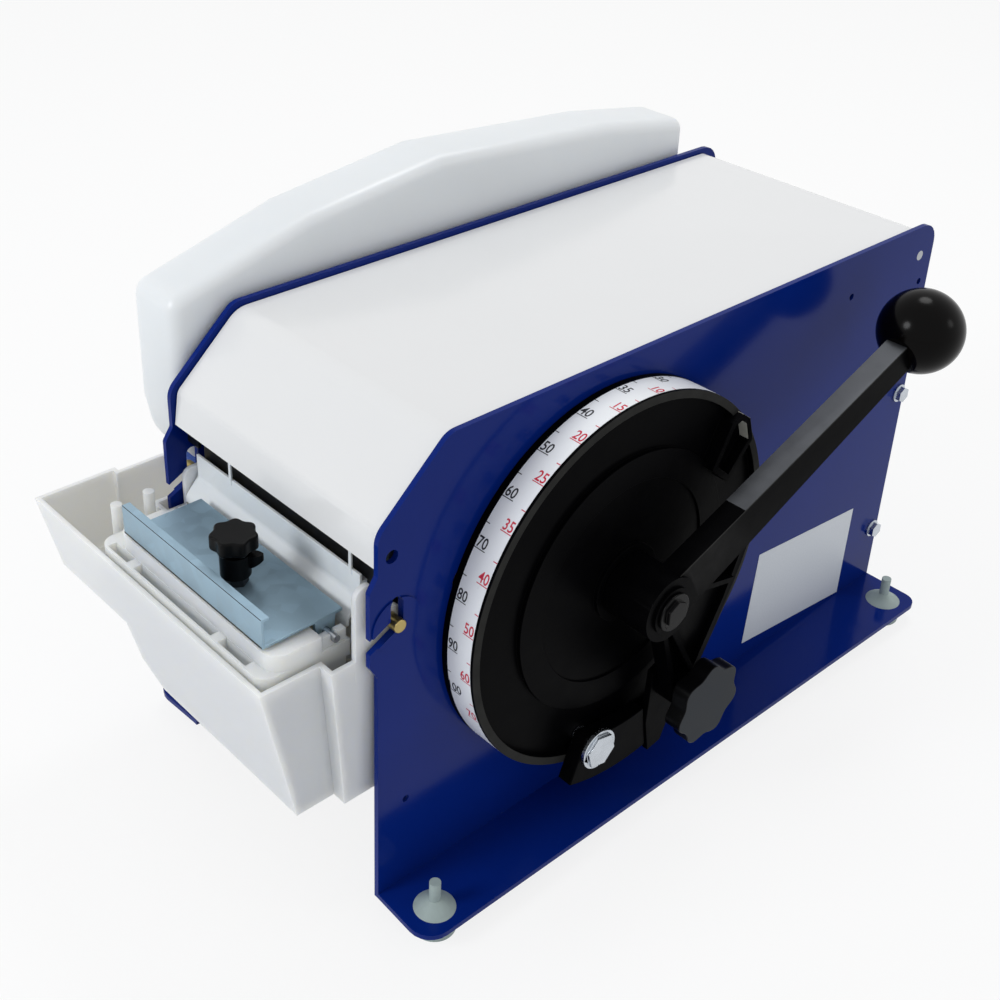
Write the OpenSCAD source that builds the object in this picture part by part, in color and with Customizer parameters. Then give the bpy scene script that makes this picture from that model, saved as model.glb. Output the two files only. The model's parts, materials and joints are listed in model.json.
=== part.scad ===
// Lever-operated gummed tape dispenser: steel side plates, hinged lid, length dial with
// a swinging lever, geared feed, shear knives, water tank with brushes and a water bottle.
// Working frame of every module: X across the machine (lever side +X), Y from the front
// edge of the side plates to the back, Z up from the underside of the side plates.

/* [Side plates] */
// Length of the side plates, front to back
plate_len = 426; // [420:1:440]
// Height of the side plates
plate_h = 260; // [258:1:270]
// Sheet thickness of the side plates
plate_t = 3; // [2:0.5:4]
// Width over the outer faces of the side plates
frame_w = 170; // [168:1:190]
// Height at which the sloping front edge starts
nose_z = 222; // [220:1:225]
// Run of the sloping front edge
nose_run = 41; // [38:1:46]
// Width of the outward foot flange
flange_w = 40; // [34:1:50]
// Distance of the foot holes from the plate ends
foot_inset = 17; // [14:1:24]
// Height of the rubber feet under the flange
foot_drop = 10; // [6:1:16]

/* [Lid] */
// Sheet thickness of the lid
lid_t = 1.5; // [1:0.1:2]
// How far the lid lies below the edge of the side plates
lid_drop = 3; // [2:0.5:5]
// Height of the lower edge of the lid's front lip
lip_z = 203; // [202:0.5:206]
// Depth of the lid's side skirts
skirt_h = 14; // [8:1:20]
// Side gap between the lid and the side plates
lid_gap = 0.8; // [0.5:0.1:1.5]
// Height of the lid hinge
hinge_z = 241; // [238:1:244]
// Distance of the lid hinge from the back edge of the side plates
hinge_back = 13; // [12:1:16]
// Diameter of the lid hinge pin
hinge_d = 6; // [5:0.5:7]

/* [Dial and lever] */
// Distance of the dial centre from the front edge
dial_y = 145; // [140:1:150]
// Height of the dial centre
dial_z = 142; // [138:1:146]
// Outer radius of the dial drum
dial_r = 106; // [104:0.5:110]
// Depth of the dial drum
dial_depth = 22; // [21:0.5:26]
// Width of the white scale band
band_w = 16; // [12:0.5:18]
// Lever length from dial centre to ball centre
lever_len = 222; // [205:1:240]
// Rest angle of the lever above the horizontal
lever_rest = 23; // [18:1:30]
// Width of the lever arm
arm_w = 12.5; // [10:0.5:20]
// Diameter of the ball knob
ball_d = 48; // [44:1:52]
// Distance of the star grip from the dial centre
grip_r = 79; // [72:1:84]
// Diameter of the large star grip
grip_d = 48; // [40:1:54]
// Diameter of the lever shaft
lever_shaft_d = 14; // [12:1:16]

/* [Gear train] */
// Teeth of the full circle of the lever gear
teeth_lever = 96; // [92:1:96]
// Teeth of the idler pinion
teeth_idler_pinion = 18; // [16:1:19]
// Module of the second gear pair
mod_2 = 1.25; // [1.2:0.05:1.3]
// Teeth of the idler gear
teeth_idler = 60; // [56:1:62]
// Teeth of the feed pinion
teeth_feed = 24; // [22:1:26]
// Width of the gears
gear_w = 7; // [5:0.5:8]
// Play between meshing teeth
backlash = 0.25; // [0.2:0.01:0.3]

/* [Feed and knives] */
// Distance of the feed shaft from the front edge
feed_y = 53; // [51:0.5:54]
// Height of the feed shaft
feed_z = 176; // [174:0.5:178]
// Diameter of the rubber feed roller
feed_d = 40; // [36:1:42]
// Diameter of the pinch roller
pinch_d = 24; // [18:1:26]
// Widest tape
tape_w = 80; // [60:1:84]
// Travel of the upper knife
knife_stroke = 9; // [8:0.5:9.5]
// Thickness of the upper knife
knife_t = 3.2; // [2.5:0.1:3.5]
// Height of the cutting edge of the lower knife
knife_z = 195; // [194:0.5:197]
// Outside diameter of the roll that the compartment takes
roll_d = 200; // [160:5:205]
// Diameter of the rollers under the tape roll
support_d = 24; // [20:1:26]

/* [Water tank] */
// Height of the tank rim
rim_z = 155; // [154:0.5:157]
// How far the tank stands out in front of the side plates
tank_out = 56; // [54:1:62]
// Height of the underside of the deep part of the tank
tank_floor = 70; // [66:1:90]
// Wall thickness of the tank
tank_wall = 2.5; // [2:0.1:3]
// Distance of the hook pins from the front edge
pin_y = 10.5; // [10:0.1:11]
// Height of the hook pins
pin_z = 171; // [170:0.5:172]
// Diameter of the hook pins
pin_d = 7; // [6:0.1:7.2]

/* [Pressure plate] */
// Length of the pressure plate along the machine's width
press_len = 118; // [100:1:118]
// Depth of the pressure plate
press_depth = 45; // [42:0.5:46]
// Height of the underside of the pressure plate
press_z = 168; // [167:0.5:169]
// Height of the upstanding front flange
press_lip = 16.5; // [10:0.5:20]
// Sheet thickness of the pressure plate
press_t = 1.5; // [1:0.1:2]
// Head diameter of the small star knob
knob_d = 26; // [22:1:28]

/* [Water bottle] */
// Thickness of the water bottle
bottle_w = 40; // [34:1:42]
// Height of the highest point of the bottle
bottle_top = 303; // [295:1:310]
// Rear end of the bottle, from the front edge of the side plates
bottle_back = 398; // [390:1:415]

/* [Hidden] */

$fn = 48;
eps = 0.01;          // overlap of cutting tools past a face
fit = 0.05;          // radial running clearance of shafts
gap = 0.3;           // clearance between moving neighbours

xo = frame_w / 2;    // outer face of a side plate
xi = xo - plate_t;   // inner face of a side plate

// Extents that place the whole machine over the origin
tank_left = -xo - 49;
ball_x = xo + 44;
machine_right = ball_x + ball_d / 2;
machine_shift = [-(tank_left + machine_right) / 2, -(plate_len - tank_out) / 2, foot_drop];

// ---------- helpers ----------
module place() translate(machine_shift) children();
module along_x(x0, x1) translate([x0, 0, 0]) rotate([90, 0, 90]) linear_extrude(x1 - x0) children();
module along_y(y0, y1) translate([0, y1, 0]) rotate([90, 0, 0]) linear_extrude(y1 - y0) children();
module rod_x(d, x0, x1, y = 0, z = 0) translate([x0, y, z]) rotate([0, 90, 0]) cylinder(d = d, h = x1 - x0);
module box(x0, x1, y0, y1, z0, z1) translate([x0, y0, z0]) cube([x1 - x0, y1 - y0, z1 - z0]);
module at_dial(angle = 0) translate([0, dial_y, dial_z]) rotate([angle, 0, 0]) children();

function unit(v) = v / norm(v);
function xy(p) = [p[0], p[1]];
// Points of the arc that rounds corner p, which holds its radius in p[2]
function corner(a, p, b, steps = 6) =
    p[2] == 0 ? [xy(p)] :
    let (u = unit(xy(a) - xy(p)), v = unit(xy(b) - xy(p)), half = acos(u * v) / 2,
         c = xy(p) + unit(u + v) * p[2] / sin(half),
         s = xy(p) + u * p[2] / tan(half) - c, e = xy(p) + v * p[2] / tan(half) - c,
         from = atan2(s[1], s[0]), turn = atan2(e[1], e[0]) - from,
         sweep = turn > 180 ? turn - 360 : turn < -180 ? turn + 360 : turn)
    [for (i = [0:steps]) c + p[2] * [cos(from + sweep * i / steps), sin(from + sweep * i / steps)]];
function rounded(pts) = let (n = len(pts))
    [for (i = [0:n - 1]) each corner(pts[(i + n - 1) % n], pts[i], pts[(i + 1) % n])];
function rounded_path(pts) = let (n = len(pts))
    [for (i = [0:n - 1]) each (i == 0 || i == n - 1) ? [xy(pts[i])] : corner(pts[i - 1], pts[i], pts[i + 1])];
// Outline of a bent sheet: the path and its copy set off by t to its left
function side_step(path, i, t) = let (n = len(path),
    u = unit(path[max(i, 1)] - path[max(i, 1) - 1]),
    v = unit(path[min(i, n - 2) + 1] - path[min(i, n - 2)]),
    m = unit([-u[1] - v[1], u[0] + v[0]]))
    path[i] + m * t / (m * [-u[1], u[0]]);
// Closed outline, counter-clockwise, drawn in by t on all sides
function inset(pts, t) = let (n = len(pts)) [for (i = [0:n - 1])
    let (u = unit(pts[i] - pts[(i + n - 1) % n]), v = unit(pts[(i + 1) % n] - pts[i]),
         m = unit([-u[1] - v[1], u[0] + v[0]]))
    pts[i] + m * t / (m * [-u[1], u[0]])];
function sheet(path, t) = concat(path, [for (i = [len(path) - 1:-1:0]) side_step(path, i, t)]);

// ---------- side plates ----------
hook_front = -4.7;   // foremost point of the hook fingers
slot_w = pin_d + 0.4;
hook_rise = 30;      // top of the fingers over the hook pins
hook_outline = [[0, pin_z - 27, 2], [hook_front, pin_z - 19, 3], [hook_front, pin_z + hook_rise - 7, 3],
    [0, pin_z + hook_rise, 3]];
plate_outline = rounded(concat([[0, 0, 0], [plate_len, 0, 0], [plate_len, plate_h, 13],
    [nose_run, plate_h, 12], [0, nose_z, 12]],
    [for (i = [len(hook_outline) - 1:-1:0]) hook_outline[i]]));
flange_outline = rounded([[xo - 1, 0, 0], [xo + flange_w, -2, 13], [xo + flange_w, plate_len, 9],
    [xo - 1, plate_len, 0]]);
foot_x = xo + flange_w * 0.6;
foot_ys = [foot_inset, plate_len - foot_inset];
foot_hole_d = 10;
rear_bolt_y = plate_len - 6.5;
rear_bolt_zs = [43, 145.5];
rear_bolt_d = 6;

module hook_slot() {
    translate([pin_y, pin_z]) circle(d = slot_w);
    translate([pin_y - slot_w / 2, pin_z]) square([slot_w, 11]);
    translate([pin_y, pin_z + 11]) circle(d = slot_w);
    translate([pin_y, pin_z + 0.6]) rotate(207) translate([0, -slot_w / 2]) square([22, slot_w]);
}
module side_plate_blank() {
    along_x(xi, xo) polygon(plate_outline);
    linear_extrude(plate_t) polygon(flange_outline);
    rod_x(28, xo, xo + 0.8, pin_y, pin_z);
}
module side_plate_holes() {
    along_x(xi - 1, xo + 2) hook_slot();
    for (y = foot_ys) translate([foot_x, y, -1]) cylinder(d = foot_hole_d, h = plate_t + 2);
    for (z = rear_bolt_zs) rod_x(rear_bolt_d + 0.4, xi - 1, xo + 1, rear_bolt_y, z);
    rod_x(hinge_d, xi - 1, xo + 1, plate_len - hinge_back, hinge_z);
    rod_x(7, xi - 1, xo + 1, 8, nose_z - 13);
    rod_x(4, xi - 1, xo + 1, 17.5, 58);
    rod_x(4, xi - 1, xo + 1, 346, 234);
    rod_x(4, xi - 1, xo + 1, plate_len - 8.5, 223);
}
module side_plate_right() color("#1b3aa8") place() difference() {
    side_plate_blank();
    side_plate_holes();
    rod_x(bush_d(lever_shaft_d), xi - 1, xo + 1, dial_y, dial_z);
    rod_x(bush_d(idler_d), xi - 1, xo + 1, idler[0], idler[1]);
    rod_x(bush_d(feed_shaft_d), xi - 1, xo + 1, feed_y, feed_z);
    for (a = dial_screw_angles) at_dial(a) rod_x(dial_screw_d + 0.4, xi - 1, xo + 1, dial_screw_r);
}
module side_plate_left() color("#1b3aa8") place() difference() {
    mirror([1, 0, 0]) side_plate_blank();
    mirror([1, 0, 0]) side_plate_holes();
    rod_x(bush_d(idler_d), -xo - 1, -xi + 1, idler[0], idler[1]);
    rod_x(bush_d(feed_shaft_d), -xo - 1, -xi + 1, feed_y, feed_z);
    for (y = bracket_bolt_ys) rod_x(bracket_bolt_d + 0.4, -xo - 1, -xi + 1, y, bracket_bolt_z);
}

// ---------- frame members ----------
rear_t = 2;          // sheet of the rear panel
rear_top = hinge_z - 18;
module rear_panel() color("#1b3aa8") place() difference() {
    union() {
        box(-xi, xi, plate_len - rear_t, plate_len, 8, rear_top);
        for (s = [-1, 1]) box(s < 0 ? -xi : xi - rear_t, s < 0 ? rear_t - xi : xi,
            plate_len - 18, plate_len - rear_t, 8, rear_top);
    }
    for (s = [-1, 1], z = rear_bolt_zs)
        rod_x(rear_bolt_d, s < 0 ? -xi - 1 : xi - rear_t - 1, s < 0 ? rear_t - xi + 1 : xi + 1, rear_bolt_y, z);
}
module hex_bolt(d, grip, head = 1.7, rise = 0.75) {
    rotate([0, 90, 0]) {
        cylinder(d = d * head * 1.15, h = d * 0.2);
        cylinder(d = d * head, h = d * rise, $fn = 6);
        translate([0, 0, -grip]) cylinder(d = d, h = grip);
    }
}
module rear_bolts() color("#c9ccd2") place()
    for (s = [0, 1], z = rear_bolt_zs) mirror([s, 0, 0])
        translate([xo, rear_bolt_y, z]) hex_bolt(rear_bolt_d, plate_t + rear_t + 4);

tray_t = 1.5;
tray_z = 16;
tray_front = 100;
tray_wall = 34;
roll_y = 262;        // centre of the tape roll
support_spread = 65; // support rollers stand this far before and behind it
support_axle_d = 8;
support_z = tray_z + tray_t + support_d / 2 + 4;
support_ys = [roll_y - support_spread, roll_y + support_spread];
module base_tray() color("#b9bec6") place() difference() {
    along_y(tray_front, plate_len - 20) polygon([[-xi, tray_z], [xi, tray_z], [xi, tray_z + tray_wall],
        [xi - tray_t, tray_z + tray_wall], [xi - tray_t, tray_z + tray_t],
        [tray_t - xi, tray_z + tray_t], [tray_t - xi, tray_z + tray_wall], [-xi, tray_z + tray_wall]]);
    for (y = support_ys) rod_x(support_axle_d + 2 * fit, -xo, xo, y, support_z);
}
module foot() {
    translate([0, 0, -foot_drop]) cylinder(d1 = 23, d2 = 26, h = foot_drop);
    translate([0, 0, -eps]) cylinder(d = foot_hole_d, h = plate_t + 2 * eps);
    translate([0, 0, plate_t]) cylinder(d1 = 22, d2 = 6.5, h = 5.5);
    translate([0, 0, plate_t]) cylinder(d = 6, h = 17);
}
module feet() color("#c8ccc6") place()
    for (s = [-1, 1], y = foot_ys) translate([s * foot_x, y, 0]) foot();

// ---------- lid ----------
lid_x = xi - lid_gap;
hinge_y = plate_len - hinge_back;
lid_top = plate_h - lid_drop;
lid_back = plate_len - 10;
slope = atan2(plate_h - nose_z, nose_run);
lid_set = lid_drop / cos(slope);                       // vertical set-back of the sloping flat
lid_nose = [4, nose_z + 4 * tan(slope) - lid_set];
lid_crease = [(lid_top - nose_z + lid_set) / tan(slope), lid_top];
lid_path = rounded_path([[1.2, lip_z, 0], [lid_nose[0], lid_nose[1], 7],
    [lid_crease[0], lid_crease[1], 16], [lid_back, lid_top, 7], [lid_back, hinge_z - 7, 0]]);
module lid() color("#f2f3f5") place() difference() {
    union() {
        along_x(-lid_x, lid_x) polygon(sheet(lid_path, -lid_t));
        for (x = [-lid_x, lid_x - lid_t]) along_x(x, x + lid_t) polygon(skirt_outline);
    }
    rod_x(hinge_d + 2 * fit, -xi, xi, hinge_y, hinge_z);
}
// Height of the underside of the sloping flat at a distance y from the front
function lid_under(y) = nose_z + y * tan(slope) - lid_set - lid_t / cos(slope);
skirt_y = 32;        // the skirts start behind the knives
skirt_outline = [[skirt_y, lid_under(skirt_y) + eps],
    [lid_crease[0] - lid_t, lid_under(lid_crease[0] - lid_t) + eps],
    [lid_crease[0] + 4, lid_top - lid_t + eps], [lid_back - lid_t + eps, lid_top - 6],
    [lid_back - lid_t + eps, hinge_z - 7], [hinge_y - 8, hinge_z - 7], [hinge_y - 14, lid_top - skirt_h],
    [lid_crease[0] + 6, lid_top - skirt_h], [skirt_y, lid_under(skirt_y) - 8]];
module lid_hinge_pin() color("#b8bcc2") place() rod_x(hinge_d, -xo, xo, hinge_y, hinge_z);

// ---------- dial ----------
drum_x0 = xo;
drum_x1 = xo + dial_depth;
drum_wall = 4.5;
face_t = 4;
hub_bore = lever_shaft_d + 2 * fit;
dial_screw_angles = [55, 125, 300];
dial_screw_r = 88;
dial_screw_d = 5;
band_t = 0.6;
band_x0 = drum_x0 + 4;
module ring_x(r1, r0, x0, x1) difference() {
    rod_x(2 * r1, x0, x1);
    rod_x(2 * r0, x0 - 1, x1 + 1);
}
// Part of a ring between two angles, counted from +Y towards +Z
module arc_block(r0, r1, a0, a1, x0, x1) along_x(x0, x1) polygon(concat(
    [for (i = [0:8]) r1 * [cos(a0 + (a1 - a0) * i / 8), sin(a0 + (a1 - a0) * i / 8)]],
    [for (i = [8:-1:0]) r0 * [cos(a0 + (a1 - a0) * i / 8), sin(a0 + (a1 - a0) * i / 8)]]));
lug_out = 4;
lug_wall = 3.5;
// Lug at the rim: distances from the rim and angles of its corners
lug_outline = [for (p = [[-29, 26.4], [-4, 32.4], [0.5, 40], [-1, 44.2], [-9, 46.7], [-34, 40.7]])
    polar(dial_r + p[0], p[1])];
module dial_drum() color("#141416") place() at_dial() difference() {
    union() {
        ring_x(dial_r, dial_r - drum_wall, drum_x0, drum_x1, $fn = 120);
        ring_x(dial_r - drum_wall + eps, 70, drum_x1 - face_t - 4, drum_x1 - 4, $fn = 120);
        ring_x(74, 58, drum_x1 - face_t - 4, drum_x1 - 1.5, $fn = 96);
        ring_x(58.5, 20, drum_x1 - face_t - 2.5, drum_x1 - 2.5, $fn = 96);
        rod_x(44, gear_1_x0 + gear_w + 0.5, drum_x1);
        for (a = dial_screw_angles) rotate([a, 0, 0])
            rod_x(14, drum_x0, drum_x1 - face_t - 4 + eps, dial_screw_r);
        along_x(drum_x1 - face_t - 4, drum_x1 + lug_out) polygon(lug_outline);
    }
    // recess that leaves the rim lug as an open bracket
    along_x(drum_x1 - 2, drum_x1 + lug_out + 1) polygon(inset(lug_outline, lug_wall));
    ring_x(dial_r + 1, dial_r - band_t - fit, band_x0, band_x0 + band_w, $fn = 120);
    rod_x(hub_bore, drum_x0 - 1, drum_x1 + 1);
    rotate([block_bolt_a, 0, 0]) rod_x(block_bolt_d, drum_x1 - 4, drum_x1 + 1, block_bolt_r);
    for (a = dial_screw_angles) rotate([a, 0, 0]) rod_x(dial_screw_d, drum_x0 - 1, drum_x0 + 11, dial_screw_r);
}
module dial_screws() color("#c9ccd2") place() for (a = dial_screw_angles) at_dial(a) {
    rod_x(dial_screw_d, xi, drum_x0 + 10, dial_screw_r);
    rod_x(9, xi - 4, xi, dial_screw_r);
}
module scale_band() color("#f4f4f2") place() at_dial() difference() {
    ring_x(dial_r, dial_r - band_t, band_x0, band_x0 + band_w, $fn = 120);
    arc_block(dial_r - 15, dial_r + 15, 14, 50, band_x0 - 1, band_x0 + band_w + 1);
    arc_block(dial_r - 15, dial_r + 15, block_a0 - 1, block_a1 + 1, band_x0 - 1, band_x0 + band_w + 1);
}

// ---------- lever ----------
lever_x0 = drum_x1 + gap;
finger_t = 4;
finger_x0 = drum_x1 + 6;
web_x0 = finger_x0 + finger_t;
arm_x0 = ball_x - arm_w / 2;
hub_x1 = arm_x0 + arm_w;
hub_d = 36;
arm_h0 = 28;
arm_h1 = 17;
grip_angle = -90 + 23.5;
finger_angle = -78;
finger_tip = dial_r + 14;
finger_half = 5;
stud_d = 10;
ball_neck = 21;
block_a1 = finger_angle - atan2(finger_half + gap, dial_r);
block_a0 = block_a1 - 30;
block_bolt_a = block_a0 + 7;
block_bolt_d = 12;
block_bolt_r = dial_r - 12;
module stop_block() color("#1d1d20") place() at_dial() difference() {
    arc_block(dial_r - 20, dial_r + 9, block_a0, block_a1, drum_x1, finger_x0 + finger_t - 1);
    rotate([block_bolt_a, 0, 0]) rod_x(block_bolt_d, drum_x1 - 1, web_x0 + 1, block_bolt_r);
}
module stop_bolt() color("#c9ccd2") place() at_dial(block_bolt_a) {
    translate([finger_x0 + finger_t - 1, block_bolt_r, 0])
        hex_bolt(block_bolt_d, finger_x0 + finger_t - 1 - drum_x1 + 4, rise = 0.35);
}
module lever() color("#17171a") place() at_dial() difference() {
    union() {
        rod_x(hub_d, lever_x0, hub_x1 + 1);
        rod_x(hub_d - 10, hub_x1 - 2, hub_x1 + 2.5);
        // arm, tapering from the hub to the ball
        rotate([lever_rest, 0, 0]) along_x(arm_x0, hub_x1) polygon([[0, -arm_h0 / 2],
            [lever_len - ball_neck, -arm_h1 / 2], [lever_len - ball_neck, arm_h1 / 2], [0, arm_h0 / 2]]);
        rotate([lever_rest, 0, 0]) translate([(arm_x0 + hub_x1) / 2, lever_len - ball_neck - 4, 0])
            rotate([-90, 0, 0]) cylinder(d = stud_d, h = 20);
        // web and ribs between the arm and the short clamp arm
        along_x(web_x0 + 2.5, web_x0 + 7) polygon([[0, 0], polar(78, lever_rest - 4), polar(64, -22),
            polar(grip_r - 2, grip_angle + 6), polar(grip_r - 2, grip_angle)]);
        for (a = [lever_rest - 36, grip_angle + 6, grip_angle - 6])
            rotate([a, 0, 0]) along_x(web_x0 + 2, web_x0 + 12)
                translate([10, -1.5]) square([a > -30 ? 52 : grip_r - 12, 3]);
        along_x(web_x0 + 3, web_x0 + 11) polygon([polar(80, lever_rest - 6.5), polar(76, lever_rest - 6),
            polar(60, -22.5), polar(grip_r - 5, grip_angle + 4), polar(grip_r - 1, grip_angle + 5),
            polar(65.5, -21)]);
        rotate([grip_angle, 0, 0]) rod_x(22, web_x0, web_x0 + 14, grip_r);
    }
    rod_x(lever_shaft_d, lever_x0 - 1, hub_x1 - 3);
    rotate([grip_angle, 0, 0]) rod_x(stud_d + 2 * fit, web_x0 - 1, web_x0 + 15, grip_r);
}
function polar(r, a) = [r * cos(a), r * sin(a)];
module lever_shaft() color("#b4b8bf") place() at_dial() {
    rod_x(lever_shaft_d, xi - 14, hub_x1 - 3);
    rod_x(lever_shaft_d + 8, xi - 14, xi - 8 - gap);
}
module lever_cap() color("#1a1a1d") place() at_dial() {
    rod_x(21, hub_x1 + 2.5, hub_x1 + 4);
    rod_x(15, hub_x1 + 3, hub_x1 + 6, $fn = 6);
}
module ball_knob() color("#0d0d0f") place() at_dial(lever_rest) difference() {
    translate([(arm_x0 + hub_x1) / 2, lever_len, 0]) sphere(d = ball_d, $fn = 64);
    translate([(arm_x0 + hub_x1) / 2, lever_len - ball_neck - 4, 0]) rotate([-90, 0, 0])
        cylinder(d = stud_d, h = 20);
    translate([arm_x0 - 10, lever_len - ball_d, -ball_d / 2])
        cube([arm_w + 20, ball_d - ball_neck, ball_d]);
}
module stop_finger() color("#2a2a2d") place() at_dial() difference() {
    along_x(finger_x0, finger_x0 + finger_t) polygon([
        polar(grip_r - 14, grip_angle + 8), polar(grip_r + 10, grip_angle + 8),
        polar(finger_tip, finger_angle + 2.5), polar(finger_tip, finger_angle - 2.4),
        polar(dial_r - 8, finger_angle - 2.7), polar(grip_r - 14, grip_angle - 8)]);
    rotate([grip_angle, 0, 0]) rod_x(stud_d + 2 * fit, finger_x0 - 1, finger_x0 + finger_t + 1, grip_r);
}
// Grip with rounded lobes, axis along X
lobe_steps = 12;
module lobed(d, lobes, x0, x1) along_x(x0, x1) polygon([for (i = [0:lobes * lobe_steps - 1])
    polar(d / 2 * (0.93 + 0.07 * cos(360 * i / lobe_steps)), 360 * i / lobes / lobe_steps)]);
module star_grip() color("#3c3d40") place() at_dial(grip_angle) translate([0, grip_r, 0]) {
    rod_x(stud_d, finger_x0 - 1, web_x0 + 15);
    rod_x(16, drum_x1 + lug_out + gap, finger_x0 - gap, $fn = 6);
    rod_x(24, web_x0 + 14 + gap, web_x0 + 18);
    lobed(grip_d, 7, web_x0 + 18, web_x0 + 28);
}

// ---------- gears ----------
pressure_angle = 20;
function inv(a) = tan(a) * 180 / PI - a;
function half_tooth(n, m, r) = 90 / n - backlash / 4 / (n * m / 2) * 180 / PI + inv(pressure_angle)
    - inv(acos(min(1, n * m * cos(pressure_angle) / 2 / r)));
function tooth_radii(n, m) = let (rp = n * m / 2, rb = rp * cos(pressure_angle), rf = rp - 1.25 * m)
    [max(rf, 0), max(rb, rf + 0.1), rp, rp + m / 2, rp + m];
function tooth(n, m, i) = let (radii = tooth_radii(n, m))
    concat([for (r = radii) polar(r, 360 / n * i - half_tooth(n, m, max(r, n * m / 2 * cos(pressure_angle))))],
           [for (k = [len(radii) - 1:-1:0]) polar(radii[k], 360 / n * i
                + half_tooth(n, m, max(radii[k], n * m / 2 * cos(pressure_angle))))]);
module gear_2d(n, m) polygon([for (i = [0:n - 1]) each tooth(n, m, i)]);

// Module of the first pair: the idler pinion reaches as far as the inside of the drum
mod_1 = (dial_r - drum_wall - 1) / (teeth_lever / 2 + teeth_idler_pinion + 1);
centre_1 = (teeth_lever + teeth_idler_pinion) * mod_1 / 2;
centre_2 = (teeth_idler + teeth_feed) * mod_2 / 2;
// The idler shaft stands where both centre distances meet, below the feed shaft
feed_off = [feed_y - dial_y, feed_z - dial_z];
base_len = norm(feed_off);
along = (centre_1 * centre_1 - centre_2 * centre_2 + base_len * base_len) / 2 / base_len;
across = sqrt(centre_1 * centre_1 - along * along);
idler = [dial_y, dial_z] + unit(feed_off) * along
    + [unit(feed_off)[1], -unit(feed_off)[0]] * across * -1;
mesh_1 = atan2(idler[1] - dial_z, idler[0] - dial_y);
mesh_2 = atan2(feed_z - idler[1], feed_y - idler[0]);
idler_d = 10;
feed_shaft_d = 12;
gear_1_x0 = xo + 3;
gear_2_x0 = xi - 12;
function bush_d(d) = d + 5;

lightening_d = 26;   // lightening holes of the lever gear
module lever_gear() color("#8f949b") place() at_dial() difference() {
    union() {
        along_x(gear_1_x0, gear_1_x0 + gear_w) rotate(mesh_1) polygon(concat([[0, 0]],
            [for (i = [-floor(155 / 360 * teeth_lever) - 2:2]) each tooth(teeth_lever, mod_1, i)]));
        rod_x(40, gear_1_x0, gear_1_x0 + gear_w);
    }
    rod_x(lever_shaft_d, gear_1_x0 - 1, gear_1_x0 + gear_w + 1);
    for (i = [0:2]) rotate([mesh_1 - 25 - 50 * i, 0, 0])
        rod_x(lightening_d, gear_1_x0 - 1, gear_1_x0 + gear_w + 1, 45);
}
module idler_shaft() color("#b4b8bf") place() {
    rod_x(idler_d, -xo, gear_1_x0 + gear_w + 1, idler[0], idler[1]);
    rod_x(idler_d + 5, -xi + 6 + gap, -xi + 10, idler[0], idler[1]);
}
module idler_pinion() color("#9ba0a7") place() translate([0, idler[0], idler[1]]) difference() {
    along_x(gear_1_x0, gear_1_x0 + gear_w) rotate(mesh_1 + 180 + 180 / teeth_idler_pinion)
        gear_2d(teeth_idler_pinion, mod_1);
    rod_x(idler_d, gear_1_x0 - 1, gear_1_x0 + gear_w + 1);
}
module idler_gear() color("#9ba0a7") place() translate([0, idler[0], idler[1]]) difference() {
    union() {
        along_x(gear_2_x0, gear_2_x0 + gear_w) rotate(mesh_2) gear_2d(teeth_idler, mod_2);
        rod_x(20, gear_2_x0 - 5, gear_2_x0);
    }
    rod_x(idler_d, gear_2_x0 - 6, gear_2_x0 + gear_w + 1);
    for (i = [0:5]) rotate([60 * i, 0, 0]) rod_x(13, gear_2_x0 - 1, gear_2_x0 + gear_w + 1, 22);
}
module feed_shaft() color("#b4b8bf") place() {
    rod_x(feed_shaft_d, -xo, xo, feed_y, feed_z);
    rod_x(feed_shaft_d + 5, -xi + 6 + gap, -xi + 10, feed_y, feed_z);
}
module feed_pinion() color("#9ba0a7") place() translate([0, feed_y, feed_z]) difference() {
    union() {
        along_x(gear_2_x0, gear_2_x0 + gear_w) rotate(mesh_2 + 180 + 180 / teeth_feed)
            gear_2d(teeth_feed, mod_2);
        rod_x(24, gear_2_x0 - 14, gear_2_x0);
    }
    rod_x(feed_shaft_d, gear_2_x0 - 15, gear_2_x0 + gear_w + 1);
}
feed_half = tape_w / 2 + 2;
module feed_roller() color("#2b2b2e") place() translate([0, feed_y, feed_z]) difference() {
    rod_x(feed_d, -feed_half, feed_half);
    rod_x(feed_shaft_d, -feed_half - 1, feed_half + 1);
    for (x = [-feed_half + 14:14:feed_half - 14]) translate([x, 0, 0])
        ring_x(feed_d, feed_d / 2 - 1, -0.75, 0.75);
}
module bush(d, inner) difference() {
    union() {
        rod_x(bush_d(d), inner, xo);
        rod_x(bush_d(d) + 6, inner, xi);
    }
    rod_x(d + 2 * fit, inner - 1, xo + 1);
}
module shaft_bushes() color("#a8834a") place() {
    translate([0, dial_y, dial_z]) bush(lever_shaft_d, xi - 8);
    for (s = [0, 1]) mirror([s, 0, 0]) {
        translate([0, idler[0], idler[1]]) bush(idler_d, xi - (s == 0 ? 4 : 6));
        translate([0, feed_y, feed_z]) bush(feed_shaft_d, xi - (s == 0 ? 4 : 6));
    }
}

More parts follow.
